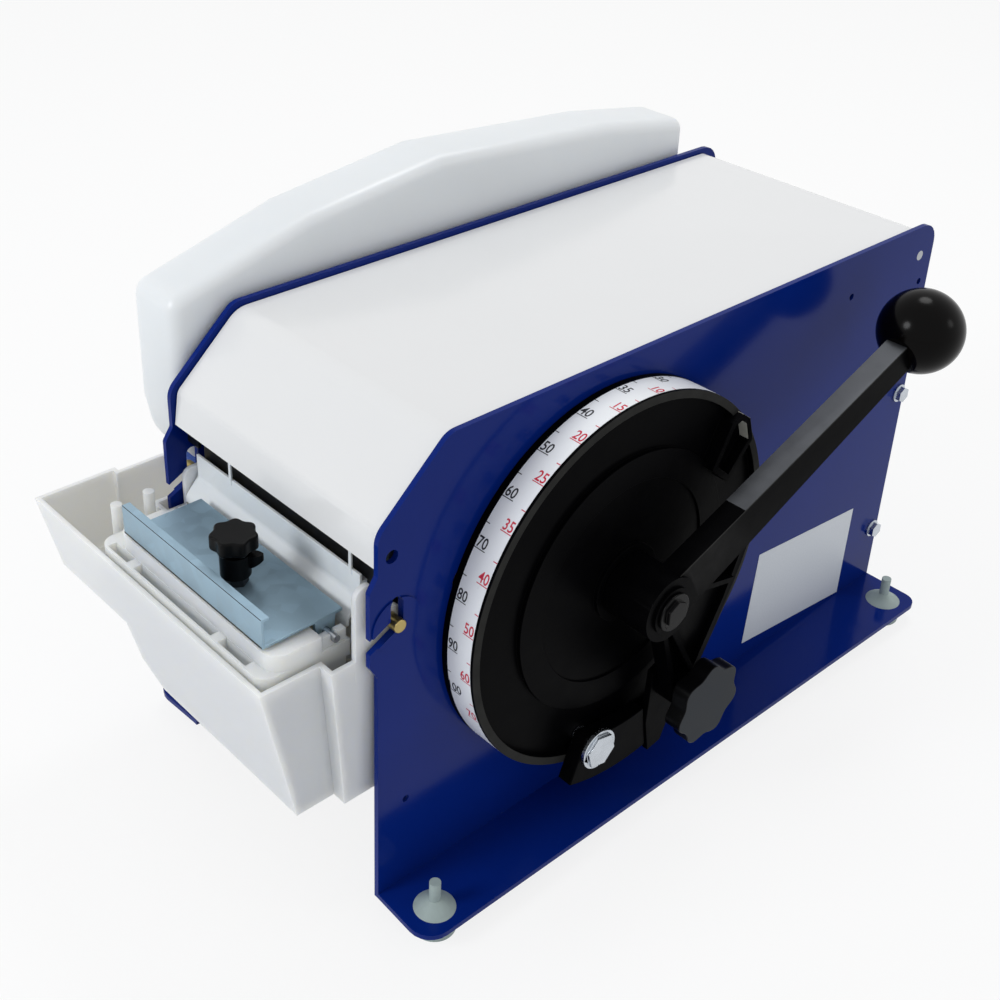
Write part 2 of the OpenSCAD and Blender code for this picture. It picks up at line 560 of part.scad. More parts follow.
// ---------- pinch roller ----------
pinch_y = feed_y;
pinch_z = feed_z + feed_d / 2 + gap + pinch_d / 2;
pinch_axle_d = 6;
pinch_half = tape_w / 2;
module pinch_roller() color("#2b2b2e") place() translate([0, pinch_y, pinch_z]) {
    rod_x(pinch_d, -pinch_half, pinch_half);
    rod_x(pinch_axle_d, -pinch_half - 6, pinch_half + 6);
}
bar_y0 = pinch_y + pinch_d / 2 + 3;
bar_z = pinch_z + pinch_d / 2 + 4;
module pinch_bracket() color("#b9bec6") place() difference() {
    union() {
        box(-xi, xi, bar_y0, bar_y0 + 16, bar_z, bar_z + 2);
        for (s = [-1, 1]) {
            box(s < 0 ? -xi : xi - 2, s < 0 ? 2 - xi : xi, bar_y0, bar_y0 + 16, bar_z - 14, bar_z + 2);
            along_x(s < 0 ? -pinch_half - 5 : pinch_half + 2, s < 0 ? -pinch_half - 2 : pinch_half + 5)
                polygon([[pinch_y - 6, pinch_z - 5], [pinch_y + 6, pinch_z - 5], [bar_y0 + 16, bar_z - 4],
                    [bar_y0 + 16, bar_z + 2], [bar_y0, bar_z + 2], [pinch_y - 6, pinch_z + 6]]);
        }
    }
    rod_x(pinch_axle_d + 2 * fit, -pinch_half - 6, pinch_half + 6, pinch_y, pinch_z);
}

// ---------- tape compartment ----------
module support_roller(y) color("#d8dadc") place() translate([0, y, support_z]) {
    rod_x(support_d, -xi + 5, xi - 5, $fn = 40);
    rod_x(support_axle_d, -xi + gap, xi - gap);
}
module support_roller_front() support_roller(support_ys[0]);
module support_roller_rear() support_roller(support_ys[1]);
guide_x = tape_w / 2 + 1.5;
guide_half = support_spread - support_d / 2 - 6;
guide_z = tray_z + tray_t + gap;
module roll_guide() difference() {
    union() {
        along_x(guide_x, guide_x + tray_t) polygon(rounded([
            [roll_y - guide_half, guide_z, 0], [roll_y + guide_half, guide_z, 0],
            [roll_y + guide_half, 96, 20], [roll_y - guide_half, 96, 20]]));
        box(guide_x, guide_x + 24, roll_y - guide_half, roll_y + guide_half, guide_z, guide_z + tray_t);
    }
    for (y = [roll_y - 20, roll_y + 20]) translate([guide_x + 13, y, tray_z]) cylinder(d = 6, h = 10);
}
module roll_guide_right() color("#cfd3d8") place() roll_guide();
module roll_guide_left() color("#cfd3d8") place() mirror([1, 0, 0]) roll_guide();

// ---------- knives and chute ----------
knife_y = 14;        // front face of the lower knife
knife_half = xi - 6;
upper_y0 = knife_y - gap - knife_t;
cheek_y0 = upper_y0 - 2;
cheek_top = lid_under(cheek_y0) - gap;
cheek_z0 = knife_z - 5;
module knife_cheeks() color("#2b2c30") place() for (s = [0, 1]) mirror([s, 0, 0]) difference() {
    box(knife_half - 4, xi, cheek_y0, knife_y + 12, cheek_z0, cheek_top);
    box(knife_half - 5, knife_half + gap, upper_y0 - gap, knife_y, cheek_z0 - 1, cheek_top + 1);
    box(knife_half - 5, knife_half + gap, knife_y - 1, knife_y + 13, knife_z + 1, cheek_top + 1);
    box(knife_half - 5, knife_half, knife_y - 1, knife_y + 5, cheek_z0 - 1, knife_z + 2);
}
spring_x = 60;
spring_y = knife_y + 9;
spring_seat = 12;    // width of the seat under each spring
knife_h = 23;        // height of the lower knife
module lower_knife() color("#1c1d20") place() {
    along_x(-knife_half, knife_half) polygon([[knife_y, knife_z - knife_h], [knife_y + 5, knife_z - knife_h],
        [knife_y + 5, knife_z - 3], [knife_y + 1, knife_z], [knife_y, knife_z]]);
    for (x = [-spring_x, spring_x]) box(x - spring_seat / 2, x + spring_seat / 2, knife_y + 4,
        spring_y + 4, knife_z - 6, knife_z - 3);
}
knife_left = 5;      // rest height of the cutting edge over the lower knife, left end
knife_right = 7.5;   // and right end
knife_back = 23;     // height of the upper knife
tab_z = knife_z + 17;
module upper_knife() color("#2a2b2f") place() difference() {
    union() {
        along_y(upper_y0, upper_y0 + knife_t) polygon([[-knife_half, knife_z + knife_left],
            [knife_half, knife_z + knife_right], [knife_half, knife_z + knife_back],
            [-knife_half, knife_z + knife_back]]);
        for (x = [-spring_x, spring_x]) box(x - spring_seat / 2, x + spring_seat / 2,
            upper_y0 + knife_t - eps, spring_y + 4, tab_z, tab_z + 2.5);
    }
    for (x = [-40, 40]) translate([x, upper_y0 - 1, tab_z]) rotate([-90, 0, 0])
        cylinder(d = 5, h = knife_t + 2);
}
// Helical tube along +Z: wire radius w, coil radius r, given turns and height
function ring_points(c, a, w, sides) = [for (k = [0:sides - 1])
    c + w * cos(360 / sides * k) * [cos(a), sin(a), 0] + w * sin(360 / sides * k) * [0, 0, 1]];
module coil(r, w, turns, h, sides = 6, per_turn = 8) {
    steps = turns * per_turn;
    pts = [for (i = [0:steps]) each ring_points([r * cos(360 / per_turn * i), r * sin(360 / per_turn * i),
        h * i / steps], 360 / per_turn * i, w, sides)];
    walls = [for (i = [0:steps - 1], k = [0:sides - 1]) let (a = i * sides + k, b = i * sides + (k + 1) % sides)
        each [[a, b, a + sides], [b, b + sides, a + sides]]];
    last = steps * sides;
    caps = [for (k = [1:sides - 2]) each [[0, k + 1, k], [last, last + k, last + k + 1]]];
    polyhedron(pts, concat(walls, caps));
}
spring_wire = 0.6;
spring_r = 2.6;
spring_z0 = knife_z - 3 + spring_wire;
module knife_springs() color("#a9adb3") place() for (x = [-spring_x, spring_x])
    translate([x, spring_y, spring_z0]) coil(spring_r, spring_wire, 6, tab_z - spring_z0 - spring_wire);

chute_t = 1.5;
chute_top = 184;
chute_left = -xi + 5.5;
chute_right = 60;
finger_xs = [-45, 53];
module chute_panel() color("#e9edf0") place() {
    along_x(chute_left, chute_right) polygon(sheet(rounded_path([[9.5, chute_top, 0],
        [9.5, press_z + 3, 4], [1.5, press_z - 6, 5], [1.5, press_z - 10, 0]]), chute_t));
    // thin fingers that keep the tape's edges in the slot
    for (x = finger_xs) box(x - 1, x + 1, 9, upper_y0 - gap, chute_top - 3, knife_z + 4);
    for (x = [chute_left, chute_right - 12]) box(x, x + 12, 9.5, knife_y, 174, 180);
}

// ---------- water tank ----------
front_lean = 19;     // the front wall leans back by this much down to the floor
tank_right_front = 71.5;
tank_right = xi - 2;
step_y = -23;        // where the tank widens behind the front part
step_lean = 8;       // and how far that step leans back
side_bag = -xo - 4;  // inner wall of the bottle well, outside the left side plate
well_z = 108;        // floor of the shallow left part
well_back = 62;
tank_back = 18;
// Side view of the tank: its front wall starts at y on the rim and leans back going down
module tank_side(y, lean, back, wall, top) polygon([[y + wall, top],
    [y + lean * (rim_z - tank_floor - wall) / (rim_z - tank_floor) + wall, tank_floor + wall],
    [back, tank_floor + wall], [back, top]]);
// Front view: a shallow left part and a deep right part
module tank_front(left, right, wall, top) polygon(inset([[left, top + wall], [left + 2, well_z],
    [-66, well_z], [-63, tank_floor + 13], [-48, tank_floor], [right - 2, tank_floor], [right, top + wall]], wall));
module tank_form(wall, top) {
    intersection() {
        along_x(tank_left, xo) tank_side(-tank_out, front_lean, -8 - wall, wall, top);
        along_y(-tank_out, 0) tank_front(tank_left, tank_right_front, wall, top);
    }
    intersection() {
        along_x(-xo, xo) tank_side(step_y, step_lean, tank_back - wall, wall, top);
        along_y(-tank_out, tank_back) tank_front(-tank_right, tank_right, wall, top);
    }
    box(tank_left + 4 + wall, side_bag - wall, -9 - (wall > 0 ? 6 : 0), well_back - wall, well_z + wall, top);
}
ear_outline = rounded([[-9, rim_z - 12, 0], [tank_back, rim_z - 12, 0], [tank_back, pin_z + 5.5, 5],
    [6, pin_z + 5.5, 2], [0.5, pin_z + 24, 3], [-9, pin_z + 24, 6]]);
ear_low = rounded([[2, rim_z - 12, 0], [tank_back, rim_z - 12, 0], [tank_back, pin_z + 5.5, 5],
    [2, pin_z + 5.5, 5]]);
ledge_z = rim_z - 7;
ledge_y0 = -tank_out + front_lean * (rim_z - ledge_z + 3) / (rim_z - tank_floor) + 1;
post_d = 6;
post_top = rim_z + 13;
module post(at, floor, top) translate([at[0], at[1], floor + tank_wall - eps])
    cylinder(d = post_d, h = top - floor - tank_wall + eps);
module water_tank() color("#eceeed") place() {
    difference() {
        tank_form(0, rim_z);
        tank_form(tank_wall, rim_z + 1);
    }
    // ears that carry the hook pins
    along_x(-tank_right, 3 - tank_right) polygon(ear_low);
    along_x(tank_right - 3, tank_right) polygon(ear_outline);
    // ledge on the front wall and posts behind that carry the brush tray
    box(tray_x0 + 6, tray_x1 - 2, ledge_y0, tray_y0 + 5, ledge_z - 3, ledge_z);
    post([-72, -16], well_z, ledge_z);
    post([50, -27], tank_floor, ledge_z);
    // tall posts beside the tray
    for (y = [-35, -16]) post([-84, y], well_z, post_top);
}
module hook_pins() color("#c2a14a") place() for (s = [0, 1]) mirror([s, 0, 0]) {
    rod_x(pin_d, tank_right, xo + 3.5, pin_y, pin_z);
}

// ---------- brush tray, brushes, pressure plate ----------
tray_x0 = -75;
tray_x1 = 67;
tray_y0 = -51.5;
tray_y1 = -2;
tray_top = rim_z + 2.5;
pockets = [[-68, -50], [-44, 24], [30, 52]];
brush_x = press_len / 2 - 4;
brush_ys = [-37, -17];
brush_depth = 11;
rod_y = -10;
rod_z = press_z - 6.5;
rod_d = 4;
hook_x0 = press_len / 2 + 2.5;
hook_w = 4;
cradle_r = 6.8;      // half the width of the rod's U-shaped cradles
cradle_z = rim_z - 10;
surround_top = press_z - 1.5;
tray_outline = rounded([[tray_x0, tray_y0, 8], [tray_x1, tray_y0, 8], [tray_x1, tray_y1, 0],
    [tray_x0, tray_y1, 0]]);
surround_outline = rounded([[-tray_x1, -press_depth, 9], [tray_x1, -press_depth, 9],
    [tray_x1, rod_y - 8, 0], [-tray_x1, rod_y - 8, 0]]);
module cradle(x) along_x(x, x + hook_w) difference() {
    union() {
        translate([rod_y, cradle_z]) circle(r = cradle_r);
        translate([rod_y - cradle_r, cradle_z]) square([2 * cradle_r, rod_z + 2.2 - cradle_z]);
    }
    translate([rod_y, rod_z]) circle(d = rod_d + 2 * fit);
    translate([rod_y - rod_d / 2 - fit, rod_z]) square([rod_d + 2 * fit, 3]);
}
module brush_tray() color("#e6eae9") place() {
    difference() {
        union() {
            translate([0, 0, ledge_z + gap]) linear_extrude(tray_top - ledge_z - gap) polygon(tray_outline);
            // raised surround that hides the brushes under the pressure plate
            translate([0, 0, tray_top - 1]) linear_extrude(surround_top - tray_top + 1) polygon(surround_outline);
        }
        // pockets along the front edge
        for (p = pockets) box(p[0], p[1], tray_y0 + 1.5, -press_depth - gap, ledge_z + 2, tray_top + 1);
        box(-brush_x - gap, brush_x + gap, brush_ys[0] - brush_depth / 2 - gap, 0,
            tray_top, surround_top + 1);
        // wells that hold the brushes and the tape path between them
        for (y = brush_ys) box(-brush_x - gap, brush_x + gap, y - brush_depth / 2 - gap, y + brush_depth / 2 + gap,
            ledge_z - 1, tray_top + 1);
    }
    cradle(hook_x0);
    cradle(-hook_x0 - hook_w);
}
bristle_top = press_z - gap;
module brush(y) {
    box(-brush_x, brush_x, y - brush_depth / 2, y + brush_depth / 2, ledge_z + gap, tray_top - 1);
    box(-brush_x + 1.5, brush_x - 1.5, y - brush_depth / 2 + 1.5, y + brush_depth / 2 - 1.5,
        tray_top - 1 - eps, bristle_top);
}
module brush_rear() color("#d9d2bd") place() brush(brush_ys[1]);
module brush_front() color("#d9d2bd") place() brush(brush_ys[0]);
press_half = press_len / 2;
press_y0 = -press_depth;
knob_x = 11;
knob_y = -26;
knob_stud_d = 6;
module pressure_plate() color("#a9b9c4") place() difference() {
    union() {
        box(-press_half, press_half, press_y0, 0, press_z, press_z + press_t);
        box(-press_half, press_half, press_y0, press_y0 + press_t, press_z, press_z + press_lip);
        box(-press_half, press_half, press_y0, press_y0 + 4.5, press_z + press_lip - press_t, press_z + press_lip);
        for (x = [-press_half, press_half - 2]) along_x(x, x + 2) polygon(rounded([
            [rod_y - 6, press_z + eps, 0], [rod_y - 5, rod_z - 3.5, 3], [rod_y + 5, rod_z - 3.5, 3],
            [rod_y + 6, press_z + eps, 0]]));
    }
    rod_x(rod_d, -press_half - 1, press_half + 1, rod_y, rod_z);
    translate([knob_x, knob_y, press_z - 1]) cylinder(d = knob_stud_d + 1, h = press_t + 2);
}
module pressure_rod() color("#b4b8bf") place()
    rod_x(rod_d, -hook_x0 - hook_w - 2, hook_x0 + hook_w + 2, rod_y, rod_z);
nut_top = press_z + press_t + 5;
module weld_nut() color("#c9ccd2") place() translate([knob_x, knob_y, press_z + press_t]) difference() {
    cylinder(d = 12, h = 5, $fn = 6);
    translate([0, 0, -1]) cylinder(d = knob_stud_d + 2 * fit, h = 7);
}
lever_collar_h = 12;
lever_reach = 10;
lever_angle = 48;
module lock_lever() color("#151517") place() translate([knob_x, knob_y, nut_top + 0.1]) difference() {
    union() {
        cylinder(d = 15, h = lever_collar_h);
        rotate(lever_angle) translate([0, -2.5, lever_collar_h - 5]) cube([lever_reach, 5, 4]);
        rotate(lever_angle) translate([lever_reach, 0, lever_collar_h - 5]) cylinder(d = 7, h = 4);
    }
    translate([0, 0, -1]) cylinder(d = knob_stud_d + 2 * fit, h = lever_collar_h + 2);
}
knob_z = nut_top + lever_collar_h + 0.4;
module star_knob() color("#151517") place() translate([knob_x, knob_y, 0]) {
    translate([0, 0, tray_top + gap]) cylinder(d = knob_stud_d, h = knob_z - tray_top);
    translate([0, 0, knob_z]) cylinder(d = 13, h = 4);
    translate([0, 0, knob_z + 3]) rotate([0, -90, 0]) lobed(knob_d, 7, 0, 8);
}

// ---------- water bottle ----------
bottle_x1 = side_bag + 1;
bottle_x0 = bottle_x1 - bottle_w;
neck_y = 38;
shelf_z = 190;
bottle_soft = 8;     // edge rounding of the blown bottle
bottle_foot = rim_z + 12;
bottle_profile = [[8, 200], [8, 266], [95, bottle_top - 12], [188, bottle_top], [322, bottle_top - 10],
    [bottle_back, bottle_top - 22], [bottle_back, shelf_z], [200, shelf_z],
    [64, bottle_foot], [22, bottle_foot], [12, 178]];
module water_bottle() color("#e4e9ec") place() union() {
    minkowski() {
        along_x(bottle_x0 + bottle_soft, bottle_x1 - bottle_soft) offset(delta = -bottle_soft) polygon(bottle_profile);
        sphere(r = bottle_soft, $fn = 20);
    }
    translate([(bottle_x0 + bottle_x1) / 2, neck_y, bottle_foot - 5]) cylinder(d = 26, h = 8);
}
cap_d = 31;
cap_h = 14;
cap_z = bottle_foot - 5 - cap_h;
module bottle_cap() color("#3a63b8") place() translate([(bottle_x0 + bottle_x1) / 2, neck_y, cap_z]) {
    cylinder(d = cap_d, h = cap_h);
    translate([0, 0, -12]) cylinder(d = 9, h = 12 + eps);
    translate([0, 0, -14]) cylinder(d = 14, h = 2.5);
}
shelf_y0 = plate_len - 156;
shelf_y1 = plate_len - 56;
shelf_flange = 30;
shelf_t = 2;
bracket_bolt_ys = [shelf_y0 + 20, shelf_y1 - 20];
bracket_bolt_z = shelf_z - 16;
bracket_bolt_d = 6;
module bottle_bracket() color("#1b3aa8") place() difference() {
    along_y(shelf_y0, shelf_y1) polygon(sheet([[-xo, shelf_z - shelf_flange], [-xo, shelf_z - gap],
        [bottle_x0 - 1, shelf_z - gap], [bottle_x0 - 1, shelf_z + 16]], shelf_t));
    for (y = bracket_bolt_ys) rod_x(bracket_bolt_d + 0.4, -xo - 4, -xo + 1, y, bracket_bolt_z);
}
module bracket_bolts() color("#c9ccd2") place() for (y = bracket_bolt_ys) mirror([1, 0, 0])
    translate([xo + shelf_t, y, bracket_bolt_z]) hex_bolt(bracket_bolt_d, shelf_t + plate_t + 4);

side_plate_right();
side_plate_left();
rear_panel();
rear_bolts();
base_tray();
feet();
lid();
lid_hinge_pin();
dial_drum();
dial_screws();
scale_band();
stop_block();
stop_bolt();
lever();
ball_knob();
lever_shaft();
lever_cap();
stop_finger();
star_grip();
lever_gear();
idler_shaft();
idler_pinion();
idler_gear();
feed_shaft();
feed_pinion();
feed_roller();
shaft_bushes();
pinch_roller();
pinch_bracket();
support_roller_front();
support_roller_rear();
roll_guide_left();
roll_guide_right();
knife_cheeks();
lower_knife();
upper_knife();
knife_springs();
chute_panel();
water_tank();
hook_pins();
brush_tray();
brush_rear();
brush_front();
pressure_plate();
pressure_rod();
weld_nut();
star_knob();
lock_lever();
water_bottle();
bottle_cap();
bottle_bracket();
bracket_bolts();
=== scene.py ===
"""Lever-operated gummed tape dispenser: finishes, fine shapes, lights and camera."""

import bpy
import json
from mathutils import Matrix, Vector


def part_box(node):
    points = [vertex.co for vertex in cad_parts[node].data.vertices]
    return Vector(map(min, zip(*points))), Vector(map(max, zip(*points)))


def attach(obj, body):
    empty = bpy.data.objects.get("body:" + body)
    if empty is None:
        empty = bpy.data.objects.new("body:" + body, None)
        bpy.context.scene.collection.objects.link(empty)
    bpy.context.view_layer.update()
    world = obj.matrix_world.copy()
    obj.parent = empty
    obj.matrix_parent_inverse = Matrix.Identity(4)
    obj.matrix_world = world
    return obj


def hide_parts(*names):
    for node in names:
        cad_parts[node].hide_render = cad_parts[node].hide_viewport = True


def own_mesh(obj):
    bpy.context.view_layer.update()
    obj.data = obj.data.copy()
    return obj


bl_info = {
    "name": "Gummed tape dispenser",
    "version": (1, 0, 0),
    "blender": (4, 5, 0),
    "location": "3D View > Sidebar > Dispenser",
    "description": "Builds the finished pieces and materials of a counter tape dispenser",
    "category": "Object",
}

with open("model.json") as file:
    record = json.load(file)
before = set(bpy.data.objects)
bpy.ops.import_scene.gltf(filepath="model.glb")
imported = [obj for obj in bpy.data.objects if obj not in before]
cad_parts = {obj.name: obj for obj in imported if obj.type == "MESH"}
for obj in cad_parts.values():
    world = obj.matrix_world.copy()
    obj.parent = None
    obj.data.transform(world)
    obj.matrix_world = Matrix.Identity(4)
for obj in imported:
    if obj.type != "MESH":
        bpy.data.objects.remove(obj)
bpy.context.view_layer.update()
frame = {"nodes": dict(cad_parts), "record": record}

import json
from math import cos, radians, sin

import bpy
from mathutils import Matrix, Vector

BODY_OF = {node: body for body, nodes in frame["record"]["behaviour"]["bodies"].items()
           for node in nodes}
MM = 0.001

# The side plates' lower front corner, midway between them, seen from the frame's origin
PLATE_ORIGIN = Vector((-9.5, -185.0, 10.0))
# Millimetres from that corner: the dial's axis and radius, the outer faces of the right plate
# and of the dial, and the scale band's edges
DIAL_Y, DIAL_Z, DIAL_R = 145.0, 142.0, 106.0
PLATE_FACE, DIAL_FACE = 85.0, 107.0
BAND_X0, BAND_X1 = 89.0, 105.0
# The resting arm's angle over the horizon in degrees
LEVER_REST = 23.0


def row(x, y, z):
    """A point given in millimetres from the plates' lower front corner, in the frame's metres."""
    return (Vector((x, y, z)) + PLATE_ORIGIN) * MM


def linear(code):
    """Linear colour of an sRGB hex value."""
    parts = [int(code[i:i + 2], 16) / 255 for i in (1, 3, 5)]
    return tuple(p / 12.92 if p <= 0.04045 else ((p + 0.055) / 1.055) ** 2.4
                 for p in parts) + (1.0,)


# ---------------------------------------------------------------- sizes and colours

def colour_property(name, description, code):
    return bpy.props.FloatVectorProperty(name=name, description=description, subtype="COLOR",
                                         size=4, min=0.0, max=1.0, default=linear(code))


def length_property(name, description, default, low, high):
    return bpy.props.FloatProperty(name=name, description=description, unit="LENGTH",
                                   default=default, min=low, max=high)


class DispenserColours(bpy.types.PropertyGroup):
    blue: colour_property("Side plates", "Gloss powder coat of the side plates", "#062375")
    lid: colour_property("Lid", "Gloss white coat of the lid", "#E8E9EA")
    casting: colour_property("Castings", "Black coat of the dial and lever", "#040405")
    tank: colour_property("Tank", "Moulded white plastic of the tank and brush tray", "#F0F1EE")
    bottle: colour_property("Bottle", "Natural plastic of the water bottle", "#E9EDF0")
    zinc_sheet: colour_property("Pressure plate", "Zinc coated sheet", "#9AB5C6")
    scale: colour_property("Scale band", "Printed plastic band of the dial", "#F4F7FA")


class DispenserSizes(bpy.types.PropertyGroup):
    sheet_edge: length_property(
        "Sheet edge", "Rounding of cut and painted sheet edges", 0.0006, 0.0001, 0.0012)
    moulded_edge: length_property(
        "Moulded edge", "Rounding of moulded plastic edges", 0.0015, 0.0003, 0.002)
    cast_edge: length_property("Cast edge", "Rounding of cast edges", 0.0009, 0.0003, 0.002)
    number_height: length_property(
        "Number height", "Height of the numbers on the scale", 0.0056, 0.003, 0.007)
    bottle_round: length_property(
        "Bottle rounding", "Edge rounding of the blown bottle", 0.009, 0.004, 0.014)
    tuft_pitch: length_property(
        "Tuft pitch", "Spacing of the bristle tufts", 0.0036, 0.003, 0.006)


# ---------------------------------------------------------------- materials

def add(tree, kind, links=None, **settings):
    """Adds a node, sets its properties and input values, and links its inputs."""
    made = tree.nodes.new("ShaderNode" + kind)
    for key, value in settings.items():
        if hasattr(made, key):
            setattr(made, key, value)
        else:
            made.inputs[key.replace("_", " ")].default_value = value
    for key, source in (links or {}).items():
        tree.links.new(source, made.inputs[key])
    return made


def new_material(name, base, roughness, metallic=0.0, **shader):
    """A material with its shader, and the object coordinates that its patterns read."""
    made = bpy.data.materials.new(name)
    made.use_nodes = True
    tree = made.node_tree
    tree.nodes.clear()
    surface = add(tree, "BsdfPrincipled")
    surface.inputs["Base Color"].default_value = base
    surface.inputs["Roughness"].default_value = roughness
    surface.inputs["Metallic"].default_value = metallic
    for key, value in shader.items():
        surface.inputs[key.replace("_", " ")].default_value = value
    add(tree, "OutputMaterial", {"Surface": surface.outputs[0]})
    where = add(tree, "TexCoord").outputs["Object"]
    return made, tree, surface, where


def per_metre(size_mm):
    """Pattern scale whose features are about this many millimetres across."""
    return 1000.0 / size_mm


def noise(tree, where, size_mm, detail):
    """Clouds of about this many millimetres."""
    return add(tree, "TexNoise", {"Vector": where}, Scale=per_metre(size_mm),
               Detail=detail).outputs["Fac"]


def streaks(tree, where, per_axis, detail, turn=0.0):
    """Clouds drawn out to this many a metre along X, Y and Z, turned about X."""
    drawn = add(tree, "Mapping", {"Vector": where}, Rotation=(turn, 0.0, 0.0), Scale=per_axis)
    return add(tree, "TexNoise", {"Vector": drawn.outputs[0]}, Scale=1.0,
               Detail=detail).outputs["Fac"]


def tint_between(tree, surface, mask, first, second):
    """Colours the surface from first to second along a mask."""
    mix = add(tree, "Mix", data_type="RGBA")
    for socket in mix.inputs:
        if socket.name == "A" and socket.type == "RGBA":
            socket.default_value = first
        if socket.name == "B" and socket.type == "RGBA":
            socket.default_value = second
    tree.links.new(mask, mix.inputs[0])
    colour = [o for o in mix.outputs if o.type == "RGBA"][0]
    tree.links.new(colour, surface.inputs["Base Color"])


def bump(tree, surface, height, distance_mm, strength, under=None):
    """Raises the surface by a height pattern, over another one if there is one under it."""
    links = {"Height": height}
    if under:
        links["Normal"] = under
    made = add(tree, "Bump", links, Strength=strength, Distance=distance_mm * MM)
    tree.links.new(made.outputs[0], surface.inputs["Normal"])
    return made.outputs[0]


def vary_roughness(tree, surface, pattern, low, high):
    """Spreads the roughness from low to high along a pattern."""
    spread = add(tree, "MapRange", {"Value": pattern}, To_Min=low, To_Max=high)
    tree.links.new(spread.outputs[0], surface.inputs["Roughness"])


def shade_of(colour, factor):
    """The colour, lighter or darker by a factor."""
    return tuple(min(1.0, c * factor) for c in colour[:3]) + (1.0,)


def blue_powder_coat(colour):
    # Polyester powder coat on steel: deep gloss, fine orange peel, darker in thin cloudy patches
    made, tree, surface, where = new_material(
        "blue_powder_coated_steel", colour, roughness=0.13, IOR=1.5, Specular_IOR_Level=0.07,
        Coat_Weight=0.02, Coat_Roughness=0.05)
    cloud = noise(tree, where, size_mm=70, detail=2.0)
    tint_between(tree, surface, cloud, shade_of(colour, 0.86), shade_of(colour, 1.12))
    # peel of 2.5 mm, coarser than the real 1 mm so that it shows
    peel = noise(tree, where, size_mm=2.5, detail=1.0)
    bump(tree, surface, peel, distance_mm=0.03, strength=0.5)
    smear = noise(tree, where, size_mm=28, detail=4.0)
    vary_roughness(tree, surface, smear, low=0.09, high=0.19)
    return made


def white_enamel(colour):
    # Stoved white enamel on steel: even and glossy, with a faint peel
    made, tree, surface, where = new_material(
        "white_enamelled_steel", colour, roughness=0.2, IOR=1.5, Coat_Weight=0.3,
        Coat_Roughness=0.08)
    cloud = noise(tree, where, size_mm=90, detail=2.0)
    tint_between(tree, surface, cloud, shade_of(colour, 0.965), colour)
    peel = noise(tree, where, size_mm=2.5, detail=1.0)
    bump(tree, surface, peel, distance_mm=0.02, strength=0.4)
    vary_roughness(tree, surface, cloud, low=0.16, high=0.26)
    return made


def black_cast_coat(colour, name="black_coated_cast_aluminium"):
    # Black coated aluminium casting: half gloss over a pebbled sand-cast skin
    made, tree, surface, where = new_material(
        name, colour, roughness=0.36, Specular_IOR_Level=0.015)
    skin = noise(tree, where, size_mm=1.6, detail=3.0)
    dents = noise(tree, where, size_mm=9, detail=2.0)
    lower = bump(tree, surface, dents, distance_mm=0.25, strength=0.35)
    bump(tree, surface, skin, distance_mm=0.10, strength=0.35, under=lower)
    vary_roughness(tree, surface, dents, low=0.28, high=0.46)
    tint_between(tree, surface, dents, shade_of(colour, 0.8), shade_of(colour, 1.5))
    return made


def milled_aluminium():
    # Bare aluminium left by a fly cutter: grey, stained, with fine lines across the arm
    made, tree, surface, where = new_material(
        "milled_aluminium", linear("#4A4C50"), roughness=0.5, metallic=1.0)
    lines = streaks(tree, where, per_axis=(120.0, 900.0, 120.0), detail=3.0,
                    turn=radians(-LEVER_REST))
    bump(tree, surface, lines, distance_mm=0.06, strength=0.5)
    stain = noise(tree, where, size_mm=16, detail=4.0)
    tint_between(tree, surface, stain, linear("#3C3E41"), linear("#5A5C60"))
    vary_roughness(tree, surface, stain, low=0.42, high=0.6)
    return made


def phenolic():
    # Black phenolic ball: compression moulded and polished, brown black with a wide highlight
    made, tree, surface, where = new_material(
        "black_phenolic", linear("#030202"), roughness=0.14, IOR=1.6, Specular_IOR_Level=0.06)
    scuff = noise(tree, where, size_mm=7, detail=5.0)
    vary_roughness(tree, surface, scuff, low=0.12, high=0.24)
    bump(tree, surface, scuff, distance_mm=0.02, strength=0.3)
    return made


def glass_filled_nylon(name, colour, low, high):
    # Injection moulded nylon: fine spark-eroded grain, duller where it is handled
    made, tree, surface, where = new_material(name, colour, roughness=(low + high) / 2,
                                              Specular_IOR_Level=0.09)
    grain = noise(tree, where, size_mm=0.9, detail=2.0)
    bump(tree, surface, grain, distance_mm=0.05, strength=0.5)
    worn = noise(tree, where, size_mm=12, detail=3.0)
    tint_between(tree, surface, worn, shade_of(colour, 0.8), shade_of(colour, 1.3))
    vary_roughness(tree, surface, worn, low, high)
    return made


def zinc_sheet(colour):
    # Hot-dip galvanised sheet: flat bluish spangles about 7 mm across, brushed in handling
    made, tree, surface, where = new_material(
        "galvanised_sheet", colour, roughness=0.44, metallic=0.6)
    spangle = add(tree, "TexVoronoi", {"Vector": where}, Scale=per_metre(7))
    grey = add(tree, "RGBToBW", {"Color": spangle.outputs["Color"]})
    cloud = noise(tree, where, size_mm=24, detail=3.0)
    both = add(tree, "Math", {0: grey.outputs[0], 1: cloud}, operation="MULTIPLY")
    tint_between(tree, surface, both.outputs[0], shade_of(colour, 0.88), shade_of(colour, 1.2))
    vary_roughness(tree, surface, grey.outputs[0], low=0.38, high=0.52)
    scratch = noise(tree, where, size_mm=1.4, detail=4.0)
    bump(tree, surface, scratch, distance_mm=0.02, strength=0.3)
    return made


